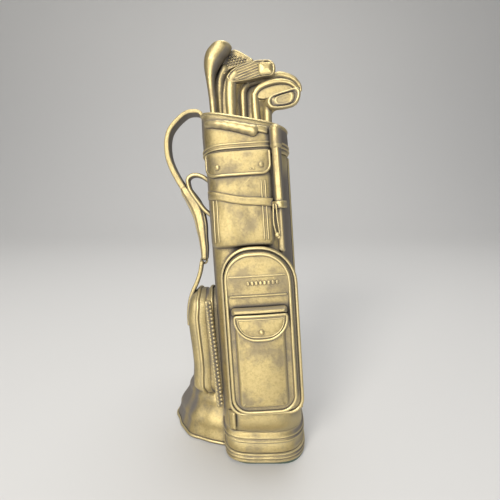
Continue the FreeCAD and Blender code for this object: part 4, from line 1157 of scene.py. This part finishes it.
def blade(solid, points, thick, middle, profile, grooves=0.0, pitch=1.0, slope=0.0):
    """An iron's head: a closed curve in (u, s) with a relief on the face that looks forward.

    profile lists (share of the curve's size, share of half the thickness) from the edge inwards.
    """
    curve = smooth_route([(u, 0.0, s) for u, s in points], 0.6, closed=True)
    centre = sum(curve, Vector()) / len(curve)

    def row(share, depth, face=False):
        made = []
        for point in curve:
            spot = centre + (point - centre) * share
            lift = 0.0
            if face and grooves:
                along = (spot.z - centre.z) - slope * (spot.x - centre.x)
                lift = grooves * (0.5 + 0.5 * math.sin(2 * math.pi * along / pitch))
            made.append(Vector((spot.x, middle - depth + lift, spot.z)))
        return made

    rows = [row(0.05, -thick / 2), row(0.7, -thick / 2), row(0.92, -thick * 0.42), row(1.0, -thick * 0.15)]
    rows += [row(share, thick / 2 * height) for share, height in profile[:-1]]
    last_share, last_height = profile[-1]
    steps = 14
    for step in range(steps + 1):
        share = last_share * (1 - step / steps) + 0.02 * step / steps
        rows.append(row(share, thick / 2 * last_height, True))
    solid.rows(rows)


def make_driver():
    """The wooden club: rings that widen from the shaft and tilt into a leaning round head."""
    depth, thickest = -3.0, 4.6
    # Height along the bag, left edge, right edge.
    levels = [
        (deck_level(-15.0), -16.7, -13.2), (176.5, -16.9, -13.2), (181.0, -17.1, -13.4),
        (186.0, -17.5, -13.4), (190.0, -17.9, -12.8), (192.6, -18.2, -11.6), (195.2, -18.3, -9.8),
        (198.0, -18.0, -7.6), (200.2, -17.4, -5.4), (202.0, -16.6, -4.0), (203.4, -15.4, -3.8),
        (204.6, -14.0, -4.6), (205.4, -12.4, -5.8), (206.0, -10.8, -7.2), (206.2, -9.8, -8.4),
    ]
    edges = [smooth_route([(level[column], 0, level[0]) for level in levels], 0.6) for column in (1, 2)]
    steps = min(len(edge) for edge in edges) - 1
    rows = []
    for step in range(steps + 1):
        left, right = (edge[round(step / steps * (len(edge) - 1))] for edge in edges)
        middle, half = (left.x + right.x) / 2, (right.x - left.x) / 2
        height, half_rise = (left.z + right.z) / 2, (right.z - left.z) / 2
        deep = min(half, thickest)
        row = []
        for angle in turns(32):
            c, s = math.cos(angle), math.sin(angle)
            row.append(Vector((middle + half * c, depth + deep * s, height + half_rise * c)))
        rows.append(row)
    Solid().rows(rows).cast("club_driver", PLAIN)


def make_dotted_iron():
    club = Solid()
    shaft = [
        (-11.9, 2.4, deck_level(-12)), (-11.8, 2.4, 179.6), (-11.4, 2.0, 187.0), (-10.4, 1.4, 191.4),
        (-8.4, 1.0, 194.6),
    ]
    club_sweep(club, shaft, [1.7, 1.7, 1.8, 2.2, 2.6])
    outline = [
        (-11.0, 193.0), (-8.3, 198.3), (-5.0, 202.0), (-2.9, 203.4), (0.6, 202.0), (4.5, 199.4),
        (6.6, 197.6), (4.3, 196.4), (-0.4, 195.3), (-5.6, 193.7), (-8.8, 191.4),
    ]
    blade(club, outline, 4.2, 1.0, [(1.0, 0.5), (0.95, 0.9), (0.88, 1.0), (0.84, 0.8)])
    # A slanted grid of dots on the face, cut off along the blade's upper edge.
    for row in range(4):
        for column in range(7):
            u, s = -6.6 + 1.45 * column + 0.5 * row, 195.6 + 1.35 * row + 0.22 * column
            if s < 201.0 - 0.45 * (u + 3.0):
                button(club, Vector((u, -0.9, s)), (0, -1, 0), 0.42, 0.5)
    club.cast("club_dotted_iron", AGED)


def make_grooved_iron():
    club = Solid()
    shaft = [
        (-6.4, -5, deck_level(-6.4)), (-5.9, -5, 177.0), (-5.6, -5.2, 182.0), (-4.7, -5.4, 186.6),
        (-2.5, -5.5, 189.2),
    ]
    club_sweep(club, shaft, [1.7, 2.4, 2.8, 2.8, 2.6], flat=0.8)
    outline = [
        (-7.5, 187.0), (-6.4, 189.0), (-4.3, 190.8), (-0.3, 192.6), (4.7, 193.9), (8.7, 194.5),
        (14.4, 194.2), (16.4, 192.6), (17.0, 190.6), (16.6, 188.2), (15.2, 186.8), (12.0, 186.5),
        (8.2, 186.1), (4.2, 185.4), (-0.8, 184.9), (-5.0, 184.9),
    ]
    profile = [(1.0, 0.5), (0.96, 0.9), (0.92, 1.0), (0.88, 0.85)]
    blade(club, outline, 4.4, -5.5, profile, grooves=0.5, pitch=1.3, slope=0.3)
    toe = Outline(12.2, 186.9, 7.8, 6.6, 1.8, 1.8)
    relief(club, toe, [(0, -2.0), (0, 1.6), (0.7, 2.2), (1.6, 2.5)], on_front(5.5), 0.3)
    club.cast("club_grooved_iron", PLAIN)


def make_hooked_iron():
    """The hooked iron, with the casting's web that fills the gaps behind the shafts."""
    club = Solid()
    shaft = [(-0.1, -1, deck_level(0)), (0.2, -1, 178.0), (0.7, -1, 182.6), (2.2, -1, 185.2)]
    club_sweep(club, shaft, [1.6, 1.6, 1.7, 1.7])
    hook = [
        (0.8, -1, 184.2), (4.9, -0.6, 186.2), (10.1, -0.2, 187.6), (15.8, 0, 188.7), (19.5, 0, 189.4),
        (23.0, 0, 188.6), (26.0, 0, 187.2), (28.3, 0, 185.0), (29.6, 0, 182.6), (29.6, 0, 181.0),
    ]
    club_sweep(club, hook, [1.4, 1.2, 1.4, 1.9, 2.4, 1.9, 1.7, 1.5, 1.1, 0.6], flat=0.9)
    web = [
        (-15.4, deck_level(-15.4)), (-15.8, 180.0), (-15.0, 189.0), (-11.0, 197.0), (-5.0, 199.0),
        (4.0, 192.0), (12.0, 187.6), (20.0, 186.0), (26.0, 180.0), (22.0, 174.0), (14.6, 171.0),
        (13.2, deck_level(13.2)), (0.0, deck_level(0.0)),
    ]
    blade(club, web, 1.8, 2.4, [(1.0, 0.5), (0.96, 1.0)])
    club.cast("club_hooked_iron", AGED, dark=True)


def make_long_iron():
    club = Solid()
    shaft_and_rim = [
        (6.4, -6, deck_level(6.4)), (6.0, -6.1, 175.6), (6.4, -6.4, 179.0), (9.0, -6.8, 181.6),
        (13.6, -7.2, 183.1), (18.8, -7.2, 183.6), (23.4, -7.0, 182.6), (26.6, -6.8, 180.0),
        (27.0, -6.6, 178.2),
    ]
    club_sweep(club, shaft_and_rim, [1.9, 2.1, 2.2, 2.0, 1.6, 1.4, 1.3, 1.2, 0.9], flat=0.9)
    outline = [
        (6.2, 177.6), (9.0, 181.4), (13.8, 183.0), (19.0, 183.4), (23.6, 182.4), (26.8, 179.6),
        (26.8, 177.6), (23.0, 177.2), (18.4, 176.8), (13.0, 176.2), (9.0, 176.0),
    ]
    blade(club, outline, 2.6, -5.6, [(1.0, 0.5), (0.96, 0.9), (0.9, 1.0)])
    club.cast("club_long_iron", PLAIN)


def make_slot_iron():
    club = Solid()
    shaft = [(11.4, -7.6, deck_level(11.4)), (11.7, -8.6, 169.6), (12.6, -9.8, 172.4), (14.6, -11, 173.6)]
    club_sweep(club, shaft, [2.1, 2.1, 2.2, 2.4], flat=0.9)
    outline = [
        (11.6, 173.2), (13.2, 175.0), (17.1, 176.2), (21.9, 177.2), (26.0, 178.0), (27.6, 176.6),
        (27.5, 174.2), (26.5, 171.8), (24.4, 170.0), (20.0, 169.0), (15.2, 168.9), (12.6, 169.6),
        (11.4, 171.4),
    ]
    profile = [(1.0, 0.5), (0.95, 0.95), (0.82, 1.0), (0.74, 0.5), (0.64, 0.5), (0.52, 1.05), (0.42, 0.85)]
    blade(club, outline, 4.6, -11.6, profile)
    club.cast("club_slot_iron", PLAIN)


# ---- what stays as CAD made it

def finish_cad(node, material):
    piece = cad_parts[node]
    piece.data.materials.clear()
    piece.data.materials.append(material)


make_camera()
make_stage()
make_foot()
make_barrel()
make_grip()
make_upper_pocket()
make_belt()
make_umbrella()
make_front_pocket()
make_label()
make_pouch()
make_strips()
make_side_pocket()
make_strap()
make_hood()
make_driver()
make_dotted_iron()
make_grooved_iron()
make_hooked_iron()
make_long_iron()
make_slot_iron()
finish_cad("club_deck", AGED)
finish_cad("felt_pad", felt())
finish_cad("base_plate", dull_steel())
